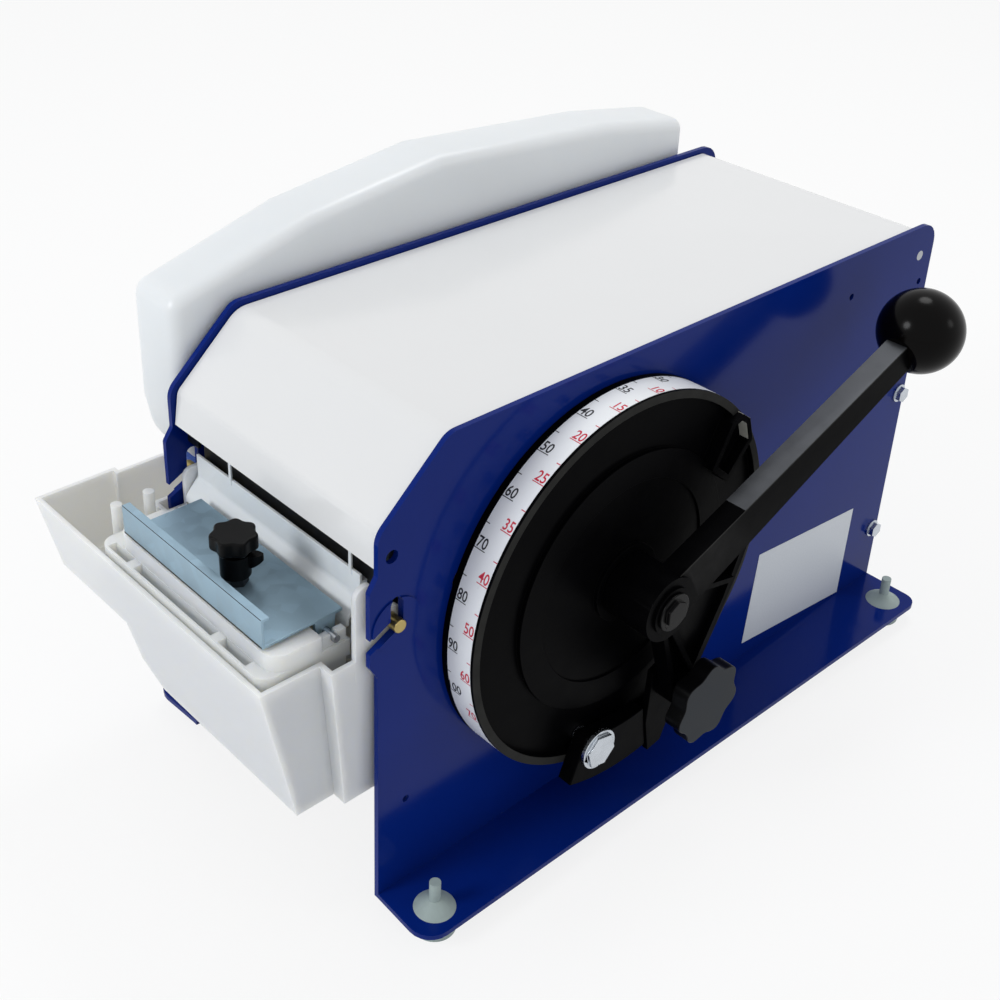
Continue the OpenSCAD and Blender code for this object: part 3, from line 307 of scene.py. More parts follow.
def plated_steel(name, colour, low, high, grain_mm):
    # Bright zinc plated or ground steel: cold grey, with fine machining marks
    made, tree, surface, where = new_material(
        name, colour, roughness=(low + high) / 2, metallic=1.0)
    marks = noise(tree, where, size_mm=grain_mm, detail=4.0)
    bump(tree, surface, marks, distance_mm=0.03, strength=0.4)
    cloud = noise(tree, where, size_mm=6, detail=3.0)
    tint_between(tree, surface, cloud, shade_of(colour, 0.8), shade_of(colour, 1.15))
    vary_roughness(tree, surface, cloud, low, high)
    return made


def blackened_steel():
    # Oil blackened steel of the knives: near black with a soft sheen and ground streaks
    made, tree, surface, where = new_material(
        "blackened_steel", linear("#17181B"), roughness=0.36, metallic=0.6)
    ground = streaks(tree, where, per_axis=(1500.0, 60.0, 60.0), detail=3.0)
    bump(tree, surface, ground, distance_mm=0.03, strength=0.4)
    tint_between(tree, surface, ground, linear("#101114"), linear("#222428"))
    vary_roughness(tree, surface, ground, low=0.3, high=0.45)
    return made


def white_polypropylene(colour, name="white_polypropylene", passing=0.8, depth=0.014):
    # Moulded white polypropylene: waxy, slightly light-passing, with faint flow clouds
    made, tree, surface, where = new_material(name, colour, roughness=0.36, IOR=1.49,
                                              Subsurface_Weight=passing, Subsurface_Scale=depth)
    surface.inputs["Subsurface Radius"].default_value = (1.0, 0.9, 0.7)
    flow = noise(tree, where, size_mm=35, detail=3.0)
    tint_between(tree, surface, flow, shade_of(colour, 0.94), colour)
    grain = noise(tree, where, size_mm=1.8, detail=2.0)
    bump(tree, surface, grain, distance_mm=0.03, strength=0.4)
    vary_roughness(tree, surface, flow, low=0.3, high=0.42)
    return made


def natural_polyethylene(colour):
    # Blow moulded natural polyethylene: milky, light-passing, with shallow waves from the mould
    made, tree, surface, where = new_material(
        "natural_polyethylene", colour, roughness=0.34, IOR=1.52, Subsurface_Weight=0.6,
        Subsurface_Scale=0.018)
    surface.inputs["Subsurface Radius"].default_value = (1.0, 0.95, 0.9)
    flow = noise(tree, where, size_mm=60, detail=2.0)
    tint_between(tree, surface, flow, shade_of(colour, 0.93), colour)
    waves = noise(tree, where, size_mm=22, detail=2.0)
    lower = bump(tree, surface, waves, distance_mm=0.5, strength=0.25)
    grain = noise(tree, where, size_mm=1.5, detail=2.0)
    bump(tree, surface, grain, distance_mm=0.04, strength=0.3, under=lower)
    vary_roughness(tree, surface, flow, low=0.28, high=0.42)
    return made


def soft_rubber(name, colour):
    # Moulded rubber: matt with a dusty bloom
    made, tree, surface, where = new_material(name, colour, roughness=0.6)
    bloom = noise(tree, where, size_mm=5, detail=4.0)
    tint_between(tree, surface, bloom, shade_of(colour, 0.85), shade_of(colour, 1.15))
    fine = noise(tree, where, size_mm=0.8, detail=2.0)
    bump(tree, surface, fine, distance_mm=0.05, strength=0.4)
    vary_roughness(tree, surface, bloom, low=0.5, high=0.72)
    return made


def printed_band(colour):
    # Printed white plastic strip: smooth, half gloss, slightly greyed by handling
    made, tree, surface, where = new_material("printed_plastic_strip", colour, roughness=0.3)
    soil = noise(tree, where, size_mm=18, detail=3.0)
    tint_between(tree, surface, soil, shade_of(colour, 0.95), colour)
    bump(tree, surface, soil, distance_mm=0.03, strength=0.3)
    vary_roughness(tree, surface, soil, low=0.24, high=0.38)
    return made


def printing_ink(name, colour):
    # Screen printed ink: flat colour with a slightly broken surface
    made, tree, surface, where = new_material(name, colour, roughness=0.45)
    broken = noise(tree, where, size_mm=0.7, detail=2.0)
    tint_between(tree, surface, broken, colour, shade_of(colour, 1.6))
    vary_roughness(tree, surface, broken, low=0.35, high=0.55)
    return made


def label_paper():
    # Coated label paper: cool white, with a soft even sheen and paper grain
    made, tree, surface, where = new_material(
        "coated_label_paper", linear("#D3D9E0"), roughness=0.42)
    fibre = noise(tree, where, size_mm=1.2, detail=4.0)
    tint_between(tree, surface, fibre, linear("#CCD3DB"), linear("#DCE1E7"))
    bump(tree, surface, fibre, distance_mm=0.01, strength=0.3)
    vary_roughness(tree, surface, fibre, low=0.36, high=0.5)
    return made


def bristle_fibre():
    # Animal hair and nylon bristles: warm straw colour, streaked along each tuft
    made, tree, surface, where = new_material("brush_bristle", linear("#CDBE9B"), roughness=0.6)
    hairs = streaks(tree, where, per_axis=(1800.0, 1800.0, 90.0), detail=2.0)
    tint_between(tree, surface, hairs, linear("#9F9070"), linear("#E3D8BC"))
    bump(tree, surface, hairs, distance_mm=0.15, strength=0.6)
    vary_roughness(tree, surface, hairs, low=0.5, high=0.7)
    return made


def bare_brass(name, colour):
    # Turned brass or bronze: warm yellow, dulled in clouds
    made, tree, surface, where = new_material(name, colour, roughness=0.3, metallic=1.0)
    tarnish = noise(tree, where, size_mm=4, detail=4.0)
    tint_between(tree, surface, tarnish, shade_of(colour, 0.7), shade_of(colour, 1.1))
    bump(tree, surface, tarnish, distance_mm=0.02, strength=0.3)
    vary_roughness(tree, surface, tarnish, low=0.22, high=0.42)
    return made


# Every finish by name, filled when the first operator runs
FINISH = {}


def make_finishes(colours):
    FINISH.update(
        blue=blue_powder_coat(tuple(colours.blue)),
        lid=white_enamel(tuple(colours.lid)),
        casting=black_cast_coat(tuple(colours.casting)),
        # a grey coat painted on the rims and edges of the castings as a painted highlight
        worn_casting=black_cast_coat(linear("#2A2A29"), "painted_highlight_black_coat"),
        bare_casting=black_cast_coat(linear("#A4A49D"), "bare_cast_aluminium"),
        milled=milled_aluminium(),
        ball=phenolic(),
        nylon=glass_filled_nylon("black_moulded_nylon", linear("#050506"), low=0.24, high=0.4),
        grip_face=glass_filled_nylon("worn_grey_nylon", linear("#292D32"), low=0.42, high=0.58),
        sheet=zinc_sheet(tuple(colours.zinc_sheet)),
        zinc=plated_steel(
            "zinc_plated_steel", linear("#C3C9D0"), low=0.2, high=0.34, grain_mm=1.5),
        steel=plated_steel(
            "ground_steel", linear("#A9ACB1"), low=0.22, high=0.36, grain_mm=0.8),
        black_steel=blackened_steel(),
        tank=white_polypropylene(tuple(colours.tank)),
        panel=white_polypropylene(
            linear("#F2F7FA"), "white_moulded_panel", passing=0.25, depth=0.004),
        bottle=natural_polyethylene(tuple(colours.bottle)),
        cap=white_polypropylene(
            linear("#2E55A8"), "blue_polyethylene_cap", passing=0.25, depth=0.004),
        foot=soft_rubber("grey_rubber", linear("#A0AFAD")),
        roller=soft_rubber("black_roller_rubber", linear("#17171A")),
        band=printed_band(tuple(colours.scale)),
        black_ink=printing_ink("black_ink", linear("#16171B")),
        red_ink=printing_ink("red_ink", linear("#B5243A")),
        label=label_paper(),
        bristle=bristle_fibre(),
        brass=bare_brass("turned_brass", linear("#B5A268")),
        bronze=bare_brass("bearing_bronze", linear("#94703C")),
    )


# The finish of every CAD node, also of those that a finished copy stands for
NODE_FINISH = {node: finish for finish, nodes in dict(
    blue="side_plate_right side_plate_left rear_panel bottle_bracket",
    lid="lid",
    casting="dial_drum stop_block stop_finger lever",
    ball="ball_knob",
    nylon="lever_cap star_grip star_knob lock_lever",
    sheet="base_tray pressure_plate",
    zinc="rear_bolts dial_screws pinch_bracket roll_guide_left roll_guide_right bracket_bolts "
         "stop_bolt",
    steel="lid_hinge_pin lever_shaft lever_gear idler_shaft idler_pinion idler_gear feed_shaft "
          "feed_pinion knife_springs pressure_rod",
    black_steel="knife_cheeks weld_nut lower_knife upper_knife",
    tank="water_tank brush_tray",
    panel="support_roller_front support_roller_rear chute_panel",
    bottle="water_bottle",
    cap="bottle_cap",
    foot="feet",
    roller="feed_roller pinch_roller",
    band="scale_band",
    bristle="brush_rear brush_front",
    brass="hook_pins",
    bronze="shaft_bushes",
).items() for node in nodes.split()}


# ---------------------------------------------------------------- modelling helpers

def only(piece):
    """Selects one piece and makes it active."""
    if bpy.context.object and bpy.context.object.mode != "OBJECT":
        bpy.ops.object.mode_set(mode="OBJECT")
    bpy.ops.object.select_all(action="DESELECT")
    piece.select_set(True)
    bpy.context.view_layer.objects.active = piece
    return piece


def edit(piece):
    """Opens a piece in edit mode with all of it selected."""
    only(piece)
    bpy.ops.object.mode_set(mode="EDIT")
    bpy.ops.mesh.select_mode(type="VERT")
    bpy.ops.mesh.select_all(action="SELECT")


def primitive(adder, **settings):
    """Adds a primitive and selects it alone."""
    bpy.ops.object.select_all(action="DESELECT")
    adder(**settings)
    return bpy.context.object


def settle(piece):
    """Puts a piece's place into its mesh."""
    only(piece)
    bpy.ops.object.transform_apply(location=True, rotation=True, scale=True)
    return piece


def joined(pieces):
    """Joins pieces into the first of them."""
    only(pieces[0])
    for piece in pieces[1:]:
        piece.select_set(True)
    bpy.ops.object.join()
    return bpy.context.object


def cut(piece, at, facing, **settings):
    """Cuts all faces of a piece where a plane passes through them."""
    edit(piece)
    bpy.ops.mesh.bisect(plane_co=at, plane_no=facing, **settings)
    bpy.ops.object.mode_set(mode="OBJECT")


def face_out():
    """Turns all faces of the piece in edit mode outwards, and leaves edit mode."""
    bpy.ops.mesh.select_all(action="SELECT")
    bpy.ops.mesh.normals_make_consistent(inside=False)
    bpy.ops.object.mode_set(mode="OBJECT")


def paint(piece, finish, test):
    """Gives a further finish to the faces that pass the test."""
    piece.data.materials.append(FINISH[finish])
    for face in piece.data.polygons:
        if test(face):
            face.material_index = len(piece.data.materials) - 1


def modifier(piece, kind, **settings):
    """Adds a modifier, sets it and applies it."""
    only(piece)
    made = piece.modifiers.new(kind.lower(), kind)
    for key, value in settings.items():
        setattr(made, key, value)
    bpy.ops.object.modifier_apply(modifier=made.name)


def bevel(piece, width, segments, angle, **settings):
    """Rounds the edges that are sharper than an angle in degrees."""
    modifier(piece, "BEVEL", width=width, segments=segments, limit_method="ANGLE",
             angle_limit=radians(angle), **settings)


def smooth(piece, angle=40):
    only(piece)
    bpy.ops.object.shade_smooth_by_angle(angle=radians(angle))


def dress(piece, name, finish, body, stands_for=()):
    """Names a piece, gives it its finish, and hangs it on its body."""
    piece.name = name
    piece.data.name = name
    piece.data.materials.clear()
    piece.data.materials.append(FINISH[finish])
    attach(piece, body)
    if stands_for:
        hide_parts(*stands_for)
    return piece


def softened(node, name, finish, edge, segments=2, angle=38):
    """A copy of a node with its sharp edges rounded."""
    only(frame["nodes"][node])
    bpy.ops.object.duplicate(linked=False)
    piece = bpy.context.object
    for key in list(piece.keys()):
        if key.startswith("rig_"):
            del piece[key]
    piece.parent = None
    piece.matrix_world = Matrix.Identity(4)
    edit(piece)
    bpy.ops.mesh.remove_doubles(threshold=2e-6)
    bpy.ops.mesh.dissolve_limited(angle_limit=radians(0.6))
    bpy.ops.object.mode_set(mode="OBJECT")
    bevel(piece, edge, segments, angle, use_clamp_overlap=True, harden_normals=False,
          miter_outer="MITER_ARC")
    smooth(piece)
    modifier(piece, "WEIGHTED_NORMAL", keep_sharp=True, weight=80)
    return dress(piece, name, finish, BODY_OF[node], stands_for=(node,))


def lever_line():
    """The lever's pivot on the dial's axis, and the direction of its arm at rest."""
    angle = radians(LEVER_REST)
    return row(0, DIAL_Y, DIAL_Z), Vector((0.0, cos(angle), sin(angle)))


def reach(point):
    """Distance of a point from the dial's axis in millimetres."""
    centre = row(0, DIAL_Y, DIAL_Z)
    return Vector((0.0, point.y - centre.y, point.z - centre.z)).length / MM


def wrap(flat, angle, middle_x):
    """Bends a flat figure, in millimetres with its foot towards -Y, round the band."""
    ink_height = 0.06
    radius = DIAL_R + ink_height
    for v in flat.data.vertices:
        turned = radians(angle) - v.co.y / DIAL_R
        v.co = row(middle_x + v.co.x, DIAL_Y + radius * cos(turned), DIAL_Z + radius * sin(turned))
    flat.data.update()
    return flat


def tick(angle, x0, x1):
    """A printed line across the band from x0 to x1."""
    width = 0.45
    mark = primitive(bpy.ops.mesh.primitive_plane_add, size=1.0, location=(0, 0, 0))
    mark.scale = (abs(x1 - x0), width, 1.0)
    return wrap(settle(mark), angle, (x0 + x1) / 2)


def outline_solid(points, x0, x1):
    """A solid drawn as an outline of (y, z) points in millimetres and extruded along X."""
    made = primitive(bpy.ops.mesh.primitive_circle_add, vertices=len(points), radius=0.1,
                     fill_type="NGON", location=(0, 0, 0))
    for v, (y, z) in zip(made.data.vertices, points):
        v.co = row(x0, y, z)
    edit(made)
    bpy.ops.mesh.extrude_region_move(TRANSFORM_OT_translate={"value": ((x1 - x0) * MM, 0, 0)})
    face_out()
    return made


# ---------------------------------------------------------------- operators

class OBJECT_OT_dispenser_finishes(bpy.types.Operator):
    """Make the materials and give every node its finish"""
    bl_idname = "object.dispenser_finishes"
    bl_label = "Finishes"

    def execute(self, context):
        make_finishes(context.scene.dispenser_colours)
        for name, piece in frame["nodes"].items():
            piece.data.materials.clear()
            piece.data.materials.append(FINISH[NODE_FINISH[name]])
            for face in piece.data.polygons:
                face.material_index = 0
        return {"FINISHED"}


class OBJECT_OT_dispenser_plates(bpy.types.Operator):
    """Round the painted edges of the side plates, rear panel and bottle bracket"""
    bl_idname = "object.dispenser_plates"
    bl_label = "Side plates"

    def execute(self, context):
        edge = context.scene.dispenser_sizes.sheet_edge
        softened("side_plate_right", "right_side_plate", "blue", edge, segments=3)
        softened("side_plate_left", "left_side_plate", "blue", edge, segments=3)
        softened("rear_panel", "rear_sheet", "blue", edge)
        softened("bottle_bracket", "bottle_shelf", "blue", edge)
        return {"FINISHED"}


class OBJECT_OT_dispenser_lid(bpy.types.Operator):
    """Round the lid's folded and cut edges"""
    bl_idname = "object.dispenser_lid"
    bl_label = "Lid"

    def execute(self, context):
        edge = context.scene.dispenser_sizes.sheet_edge
        softened("lid", "hinged_lid", "lid", edge * 0.9, segments=3)
        return {"FINISHED"}


class OBJECT_OT_dispenser_castings(bpy.types.Operator):
    """Round the dial, stop and lever, show where their coat is milled off, and paint highlights on
    the dial's rim and the arm's edge
    """
    bl_idname = "object.dispenser_castings"
    bl_label = "Dial and lever"

    def execute(self, context):
        edge = context.scene.dispenser_sizes.cast_edge
        dial = softened("dial_drum", "dial_casting", "casting", edge, segments=2, angle=30)
        softened("stop_block", "stop_casting", "casting", edge)
        softened("stop_finger", "stop_tongue", "casting", edge * 0.5)
        lever = softened("lever", "lever_casting", "casting", edge, segments=2, angle=30)
        self.mill(lever)
        self.wear(dial)
        return {"FINISHED"}

    def mill(self, lever):
        """Bares the arm's upper face, and paints a highlight in a grey coat along its outer upper
        edge.
        """
        # millimetres out from the shaft, and of the painted highlight strip's width
        milled_from, highlight_from, strip = 63.0, 20.0, 0.9
        hub, along = lever_line()
        up = Vector((0.0, -along.z, along.y))
        cut(lever, hub + along * milled_from * MM, along)
        paint(lever, "milled", lambda f: f.normal.dot(up) > 0.985
              and (f.center - hub).dot(along) > milled_from * MM)
        top = max((f for f in lever.data.polygons if f.material_index == 1), key=lambda f: f.area)
        crest, level = Vector(top.center), Vector(top.normal)
        cut(lever, crest - level * strip * MM, level)
        cut(lever, hub + along * highlight_from * MM, along)
        # the thin strip along the arm's outer upper edge gets a grey coat as a painted highlight
        paint(lever, "worn_casting", lambda f: f.normal.x > 0.2 and f.normal.dot(level) < 0.95
              and abs((f.center - crest).dot(level)) < strip * MM)

    def wear(self, dial):
        """Paints a highlight on the rim round the dial's face, and bares the edge of its lug."""
        face, rim, spots = row(DIAL_FACE, 0, 0).x, DIAL_R - 6.0, dial.data.vertices
        # a ring's centre lies near the axis, so its vertices tell how far out it is
        # the outer ring of the face gets a grey coat as a painted highlight
        paint(dial, "worn_casting", lambda f: f.center.x > face - 0.0005
              and all(reach(spots[i].co) > rim for i in f.vertices))
        paint(dial, "bare_casting", lambda f: reach(f.center) > rim
              and f.center.x > face + 0.0003 and f.normal.x < 0.4)


class OBJECT_OT_dispenser_ball(bpy.types.Operator):
    """Turn the ball of the lever, with its flat neck"""
    bl_idname = "object.dispenser_ball"
    bl_label = "Ball knob"

    def execute(self, context):
        low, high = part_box("ball_knob")
        hub, arm = lever_line()
        from_hub, neck = 222.0 * MM, 21.0
        centre = Vector(((low.x + high.x) / 2, hub.y, hub.z)) + arm * from_hub
        ball = settle(primitive(
            bpy.ops.mesh.primitive_uv_sphere_add, segments=96, ring_count=48,
            radius=(high.x - low.x) / 2, location=centre,
            rotation=arm.to_track_quat("Z", "X").to_euler()))
        cut(ball, centre - arm * neck * MM, -arm, clear_outer=True, use_fill=True)
        bevel(ball, 0.0012, segments=4, angle=30)
        smooth(ball)
        dress(ball, "lever_ball", "ball", "lever", stands_for=("ball_knob",))
        return {"FINISHED"}


class OBJECT_OT_dispenser_grips(bpy.types.Operator):
    """Round the star grip, the star knob and its lock lever"""
    bl_idname = "object.dispenser_grips"
    bl_label = "Star grips"

    def execute(self, context):
        grip = softened("star_grip", "lever_star_grip", "nylon", 0.0016, segments=4, angle=30)
        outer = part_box("star_grip")[1].x
        paint(grip, "grip_face", lambda f: f.normal.x > 0.95 and f.center.x > outer - 0.0004)
        knob = softened("star_knob", "plate_star_knob", "nylon", 0.0012, segments=3, angle=30)
        self.narrow(knob)
        lock = softened("lock_lever", "plate_lock_lever", "nylon", 0.0006, segments=3, angle=30)
        self.taper(lock)
        return {"FINISHED"}

    def narrow(self, knob):
        """Ends the arms of the knob's head a little inside the CAD solid."""
        # the head's depth in metres, and what is left of its width
        head, share = 0.0085, 0.9
        low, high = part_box("star_knob")
        middle_x, middle_y = (low.x + high.x) / 2, (low.y + high.y) / 2
        for v in knob.data.vertices:
            if v.co.z > high.z - head:
                v.co.x = middle_x + (v.co.x - middle_x) * share
                v.co.y = middle_y + (v.co.y - middle_y) * share

    def taper(self, lock):
        """Draws the lock's arm thinner and narrower from its root on the collar to its tip."""
        stud, angle = row(11.0, -26.0, 0.0), radians(48.0)
        foot = Vector((stud.x, stud.y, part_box("lock_lever")[0].z))
        along = Vector((cos(angle), sin(angle), 0.0))
        across = Vector((-along.y, along.x, 0.0))
        collar, tip, arm_foot, arm_top, upper = (
            length * MM for length in (7.3, 13.5, 6.4, 11.0, 11.1))
        root_depth, tip_thinner, tip_narrower = 1.7, 0.85, 0.45
        for v in lock.data.vertices:
            local = v.co - foot
            far = local.dot(along)
            in_arm = far >= 0 and arm_foot < local.z < upper
            if not in_arm or Vector((local.x, local.y)).length < collar:
                continue
            share = min(1.0, max(0.0, (far - collar) / (tip - collar)))
            v.co += across * local.dot(across) * (-tip_narrower * share)
            v.co.z = foot.z + arm_top - (arm_top - local.z) * (root_depth - tip_thinner * share)


class OBJECT_OT_dispenser_scale(bpy.types.Operator):
    """Print the black and red rows of numbers and their ticks on the scale band"""
    bl_idname = "object.dispenser_scale"
    bl_label = "Scale"

    def execute(self, context):
        height = context.scene.dispenser_sizes.number_height
        black = (30, 35, 40, 50, 60, 70, 80, 90, 100)
        red = (10, 15, 20, 25, 35, 40, 50, 60, 70)
        self.print_row(black, height, "black_ink", "scale_row_black",
                       first=74.5, edge_x=BAND_X0, inward=1)
        self.print_row(red, height, "red_ink", "scale_row_red",
                       first=82.0, edge_x=BAND_X1, inward=-1)
        return {"FINISHED"}

    def print_row(self, values, height, ink, name, first, edge_x, inward):
        """Prints numbers from an angle on, each with a long and a short tick from the edge."""
        # degrees between numbers, their millimetres from the edge, and each tick's turn and length
        step, inset = 14.6, 3.6
        long_tick, short_tick = (1.7, 7.0), (-5.2, 2.4)
        printed = []
        for place, value in enumerate(values):
            angle = first + step * place
            printed.append(wrap(self.figure(str(value), height), angle, edge_x + inward * inset))
            for turn, length in (long_tick, short_tick):
                printed.append(tick(angle + turn, edge_x, edge_x + inward * length))
        dress(joined(printed), name, ink, "frame")

    def figure(self, text, height):
        """A flat number in millimetres, slightly narrow and bold."""
        size_per_height, width, weight = 1.4, 0.84, 0.09
        bpy.ops.object.select_all(action="DESELECT")
        bpy.ops.object.text_add(location=(0, 0, 0))
        number = bpy.context.object
        number.data.body = text
        number.data.size = height / MM * size_per_height
        number.data.align_x = number.data.align_y = "CENTER"
        number.data.resolution_u = 3
        number.data.offset = weight
        number.scale = (width, 1.0, 1.0)
        bpy.ops.object.convert(target="MESH")
        number = settle(bpy.context.object)
        edit(number)
        bpy.ops.mesh.remove_doubles(threshold=0.0005)
        bpy.ops.mesh.subdivide(number_cuts=1)
        bpy.ops.object.mode_set(mode="OBJECT")
        return number


class OBJECT_OT_dispenser_tank(bpy.types.Operator):
    """Round the moulded tank, its brush tray and the panel above it"""
    bl_idname = "object.dispenser_tank"
    bl_label = "Tank and tray"

    def execute(self, context):
        edge = context.scene.dispenser_sizes.moulded_edge
        softened("water_tank", "moulded_tank", "tank", edge, segments=3)
        softened("brush_tray", "moulded_tray", "tank", edge * 0.8, segments=3)
        softened("chute_panel", "white_front_panel", "panel", edge * 0.5)
        return {"FINISHED"}


class OBJECT_OT_dispenser_sheet(bpy.types.Operator):
    """Round the pressure plate, the knives and the stop's bolt"""
    bl_idname = "object.dispenser_sheet"
    bl_label = "Pressure plate"

    def execute(self, context):
        edge = context.scene.dispenser_sizes.sheet_edge
        plate = softened("pressure_plate", "zinc_pressure_plate", "sheet", edge * 1.4)
        # painted shade: the bevels along the long front edges and the lowest strip of the front
        # face are painted blackened steel as a dark shadow line at the fold and over the tray
        front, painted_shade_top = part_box("pressure_plate")[0].y + 0.0009, row(0, 0, 168.0).z + 1.3 * MM
        cut(plate, (0, 0, painted_shade_top), (0, 0, 1))
        paint(plate, "black_steel", lambda f: f.center.y < front and abs(f.normal.x) < 0.3
              and (0.2 < abs(f.normal.z) < 0.95 or f.normal.y < -0.9 and f.center.z < painted_shade_top))
        softened("lower_knife", "fixed_knife", "black_steel", edge * 0.4)
        softened("upper_knife", "moving_knife", "black_steel", edge * 0.4)
        softened("stop_bolt", "stop_screw", "zinc", 0.0012, segments=3, angle=25)
        return {"FINISHED"}


class OBJECT_OT_dispenser_springs(bpy.types.Operator):
    """Wind the two springs that lift the upper knife"""
    bl_idname = "object.dispenser_springs"
    bl_label = "Knife springs"

    def execute(self, context):
        low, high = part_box("knife_springs")
        wire, coil = 0.6 * MM, 2.6 * MM
        middle_y = (low.y + high.y) / 2
        pair = [self.wind((x, middle_y, low.z + wire), wire, coil, high.z - low.z - 2 * wire)
                for x in (low.x + coil + wire, high.x - coil - wire)]
        springs = dress(joined(pair), "wound_knife_springs", "steel", "frame",
                        stands_for=("knife_springs",))
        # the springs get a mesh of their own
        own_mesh(springs)
        return {"FINISHED"}

    def wind(self, foot, wire, coil, height):
        """One spring on its foot, with closed wire ends."""
        turns, steps = 6, 20
        spring = settle(primitive(
            bpy.ops.mesh.primitive_circle_add, vertices=10, radius=wire, fill_type="NOTHING",
            location=(coil, 0, 0), rotation=(radians(90), 0, 0)))
        modifier(spring, "SCREW", angle=radians(360), screw_offset=height / turns,
                 iterations=turns, steps=steps, render_steps=steps, use_merge_vertices=False)
        edit(spring)
        bpy.ops.mesh.fill_holes(sides=0)
        face_out()
        spring.location = foot
        settle(spring)
        smooth(spring)
        return spring


# The bottle's side as (y, z) points in millimetres
BOTTLE_SIDE = [(8, 200), (8, 266), (95, 291), (188, 303), (322, 293), (398, 281), (398, 190),
               (200, 190), (64, 167), (22, 167), (12, 178)]


class OBJECT_OT_dispenser_bottle(bpy.types.Operator):
    """Blow the water bottle: a soft-cornered flat tank with a plain neck"""
    bl_idname = "object.dispenser_bottle"
    bl_label = "Water bottle"

    def execute(self, context):
        low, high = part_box("water_bottle")
        x0, x1 = low.x / MM - PLATE_ORIGIN.x, high.x / MM - PLATE_ORIGIN.x
        bottle = outline_solid(BOTTLE_SIDE, x0, x1)
        bevel(bottle, context.scene.dispenser_sizes.bottle_round, segments=6, angle=20)
        smooth(bottle, 60)
        dress(joined([bottle, self.neck((x0 + x1) / 2)]), "blown_bottle", "bottle", "bottle",
              stands_for=("water_bottle",))
        return {"FINISHED"}

    def neck(self, middle):
        neck = settle(primitive(bpy.ops.mesh.primitive_cylinder_add, vertices=48, radius=0.013,
                                depth=0.0075, location=row(middle, 38.0, 165.9)))
        bevel(neck, 0.0006, segments=2, angle=40)
        smooth(neck)
        return neck


class OBJECT_OT_dispenser_brushes(bpy.types.Operator):
    """Set tufts of bristle in the brush backings"""
    bl_idname = "object.dispenser_brushes"
    bl_label = "Brushes"

    def execute(self, context):
        pitch = context.scene.dispenser_sizes.tuft_pitch
        split = row(0, 0, 156.0).z
        for node, name in (("brush_rear", "rear_brush"), ("brush_front", "front_brush")):
            low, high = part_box(node)
            self.back(node, name, low, high, split)
            self.tuft(name, low, high, split, pitch)
        return {"FINISHED"}

    def back(self, node, name, low, high, split):
        """The block that holds the tufts, up to the height where they leave it."""
        backing = primitive(bpy.ops.mesh.primitive_cube_add, size=1.0,
                            location=((low.x + high.x) / 2, (low.y + high.y) / 2,
                                      (low.z + split) / 2))
        backing.scale = (high.x - low.x, high.y - low.y, split - low.z)
        settle(backing)
        modifier(backing, "BEVEL", width=0.0006, segments=2)
        dress(backing, name + "_backing", "panel", "tank",
              stands_for=(node,))

    def tuft(self, name, low, high, split, pitch):
        """Rows of tufts that widen from their roots in the block to their cut ends."""
        rows, deep, root, margin = 3, pitch * 0.92, 0.001, 0.004
        across = int((high.x - low.x - margin) / pitch) + 1
        tufts = settle(primitive(
            bpy.ops.mesh.primitive_cone_add, vertices=7, radius1=pitch * 0.36,
            radius2=pitch * 0.56, depth=high.z - split + root,
            location=((low.x + high.x) / 2 - pitch * (across - 1) / 2,
                      (low.y + high.y) / 2 - deep, (high.z + split - root) / 2)))
        for count, offset in ((across, (pitch, 0, 0)), (rows, (0, deep, 0))):
            modifier(tufts, "ARRAY", count=count, use_relative_offset=False,
                     use_constant_offset=True, constant_offset_displace=offset)
        # the cut ends stand a little unevenly
        uneven, lean = 0.0007, 0.00025
        for v in tufts.data.vertices:
            if v.co.z > split + 0.002:
                wave = sin(v.co.x * 5200.0) * cos(v.co.y * 7900.0)
                v.co.z -= uneven * (0.5 + 0.5 * wave)
                v.co.x += lean * sin(v.co.y * 4100.0 + v.co.x * 900.0)
        dress(tufts, name + "_tufts", "bristle", "tank")


class OBJECT_OT_dispenser_feet(bpy.types.Operator):
    """Round the rubber feet, the bolts, the lever's cap and the brass pins"""
    bl_idname = "object.dispenser_feet"
    bl_label = "Feet and bolts"

    def execute(self, context):
        softened("feet", "rubber_feet", "foot", 0.0014, segments=3, angle=30)
        softened("rear_bolts", "rear_screws", "zinc", 0.0005, segments=2, angle=30)
        softened("bracket_bolts", "shelf_screws", "zinc", 0.0005, segments=2, angle=30)
        softened("lever_cap", "hub_cap", "nylon", 0.0006, segments=2, angle=30)
        softened("hook_pins", "brass_pins", "brass", 0.0005, segments=2, angle=30)
        return {"FINISHED"}


# The label's lower front, lower rear, upper front and upper rear corner, as (y, z)
LABEL_CORNERS = ((289.5, 13.5), (391.0, 4.0), (294.0, 78.5), (392.0, 70.0))


class OBJECT_OT_dispenser_label(bpy.types.Operator):
    """Stick the bare label on the right side plate"""
    bl_idname = "object.dispenser_label"
    bl_label = "Label"

    def execute(self, context):
        glue = 0.05
        label = primitive(bpy.ops.mesh.primitive_plane_add, size=1.0, location=(0, 0, 0))
        for v, (y, z) in zip(label.data.vertices, LABEL_CORNERS):
            v.co = row(PLATE_FACE + glue, y, z)
        label.data.update()
        modifier(label, "SOLIDIFY", thickness=0.00015, offset=1.0)
        dress(label, "blank_label", "label", "frame")
        return {"FINISHED"}


# The photograph's camera: place in metres, turn in degrees, focal length in the pixels of a
# square picture, and shift in picture widths
CAMERA_PLACE, CAMERA_TURN = (0.47934, -0.51271, 0.59876), (60.4763, -1.4, 48.385)
FOCAL_PIXELS, PICTURE_PIXELS, SENSOR_MM = 1461.27, 1000.0, 36.0
CAMERA_SHIFT = (0.0478, -0.105)

WHITE = (1.0, 1.0, 1.0, 1.0)
# How much of the sky's white lights the machine, and how white the floor looks to the eye
SKY_STRENGTH, FLOOR_GLOW = 0.56, 0.82

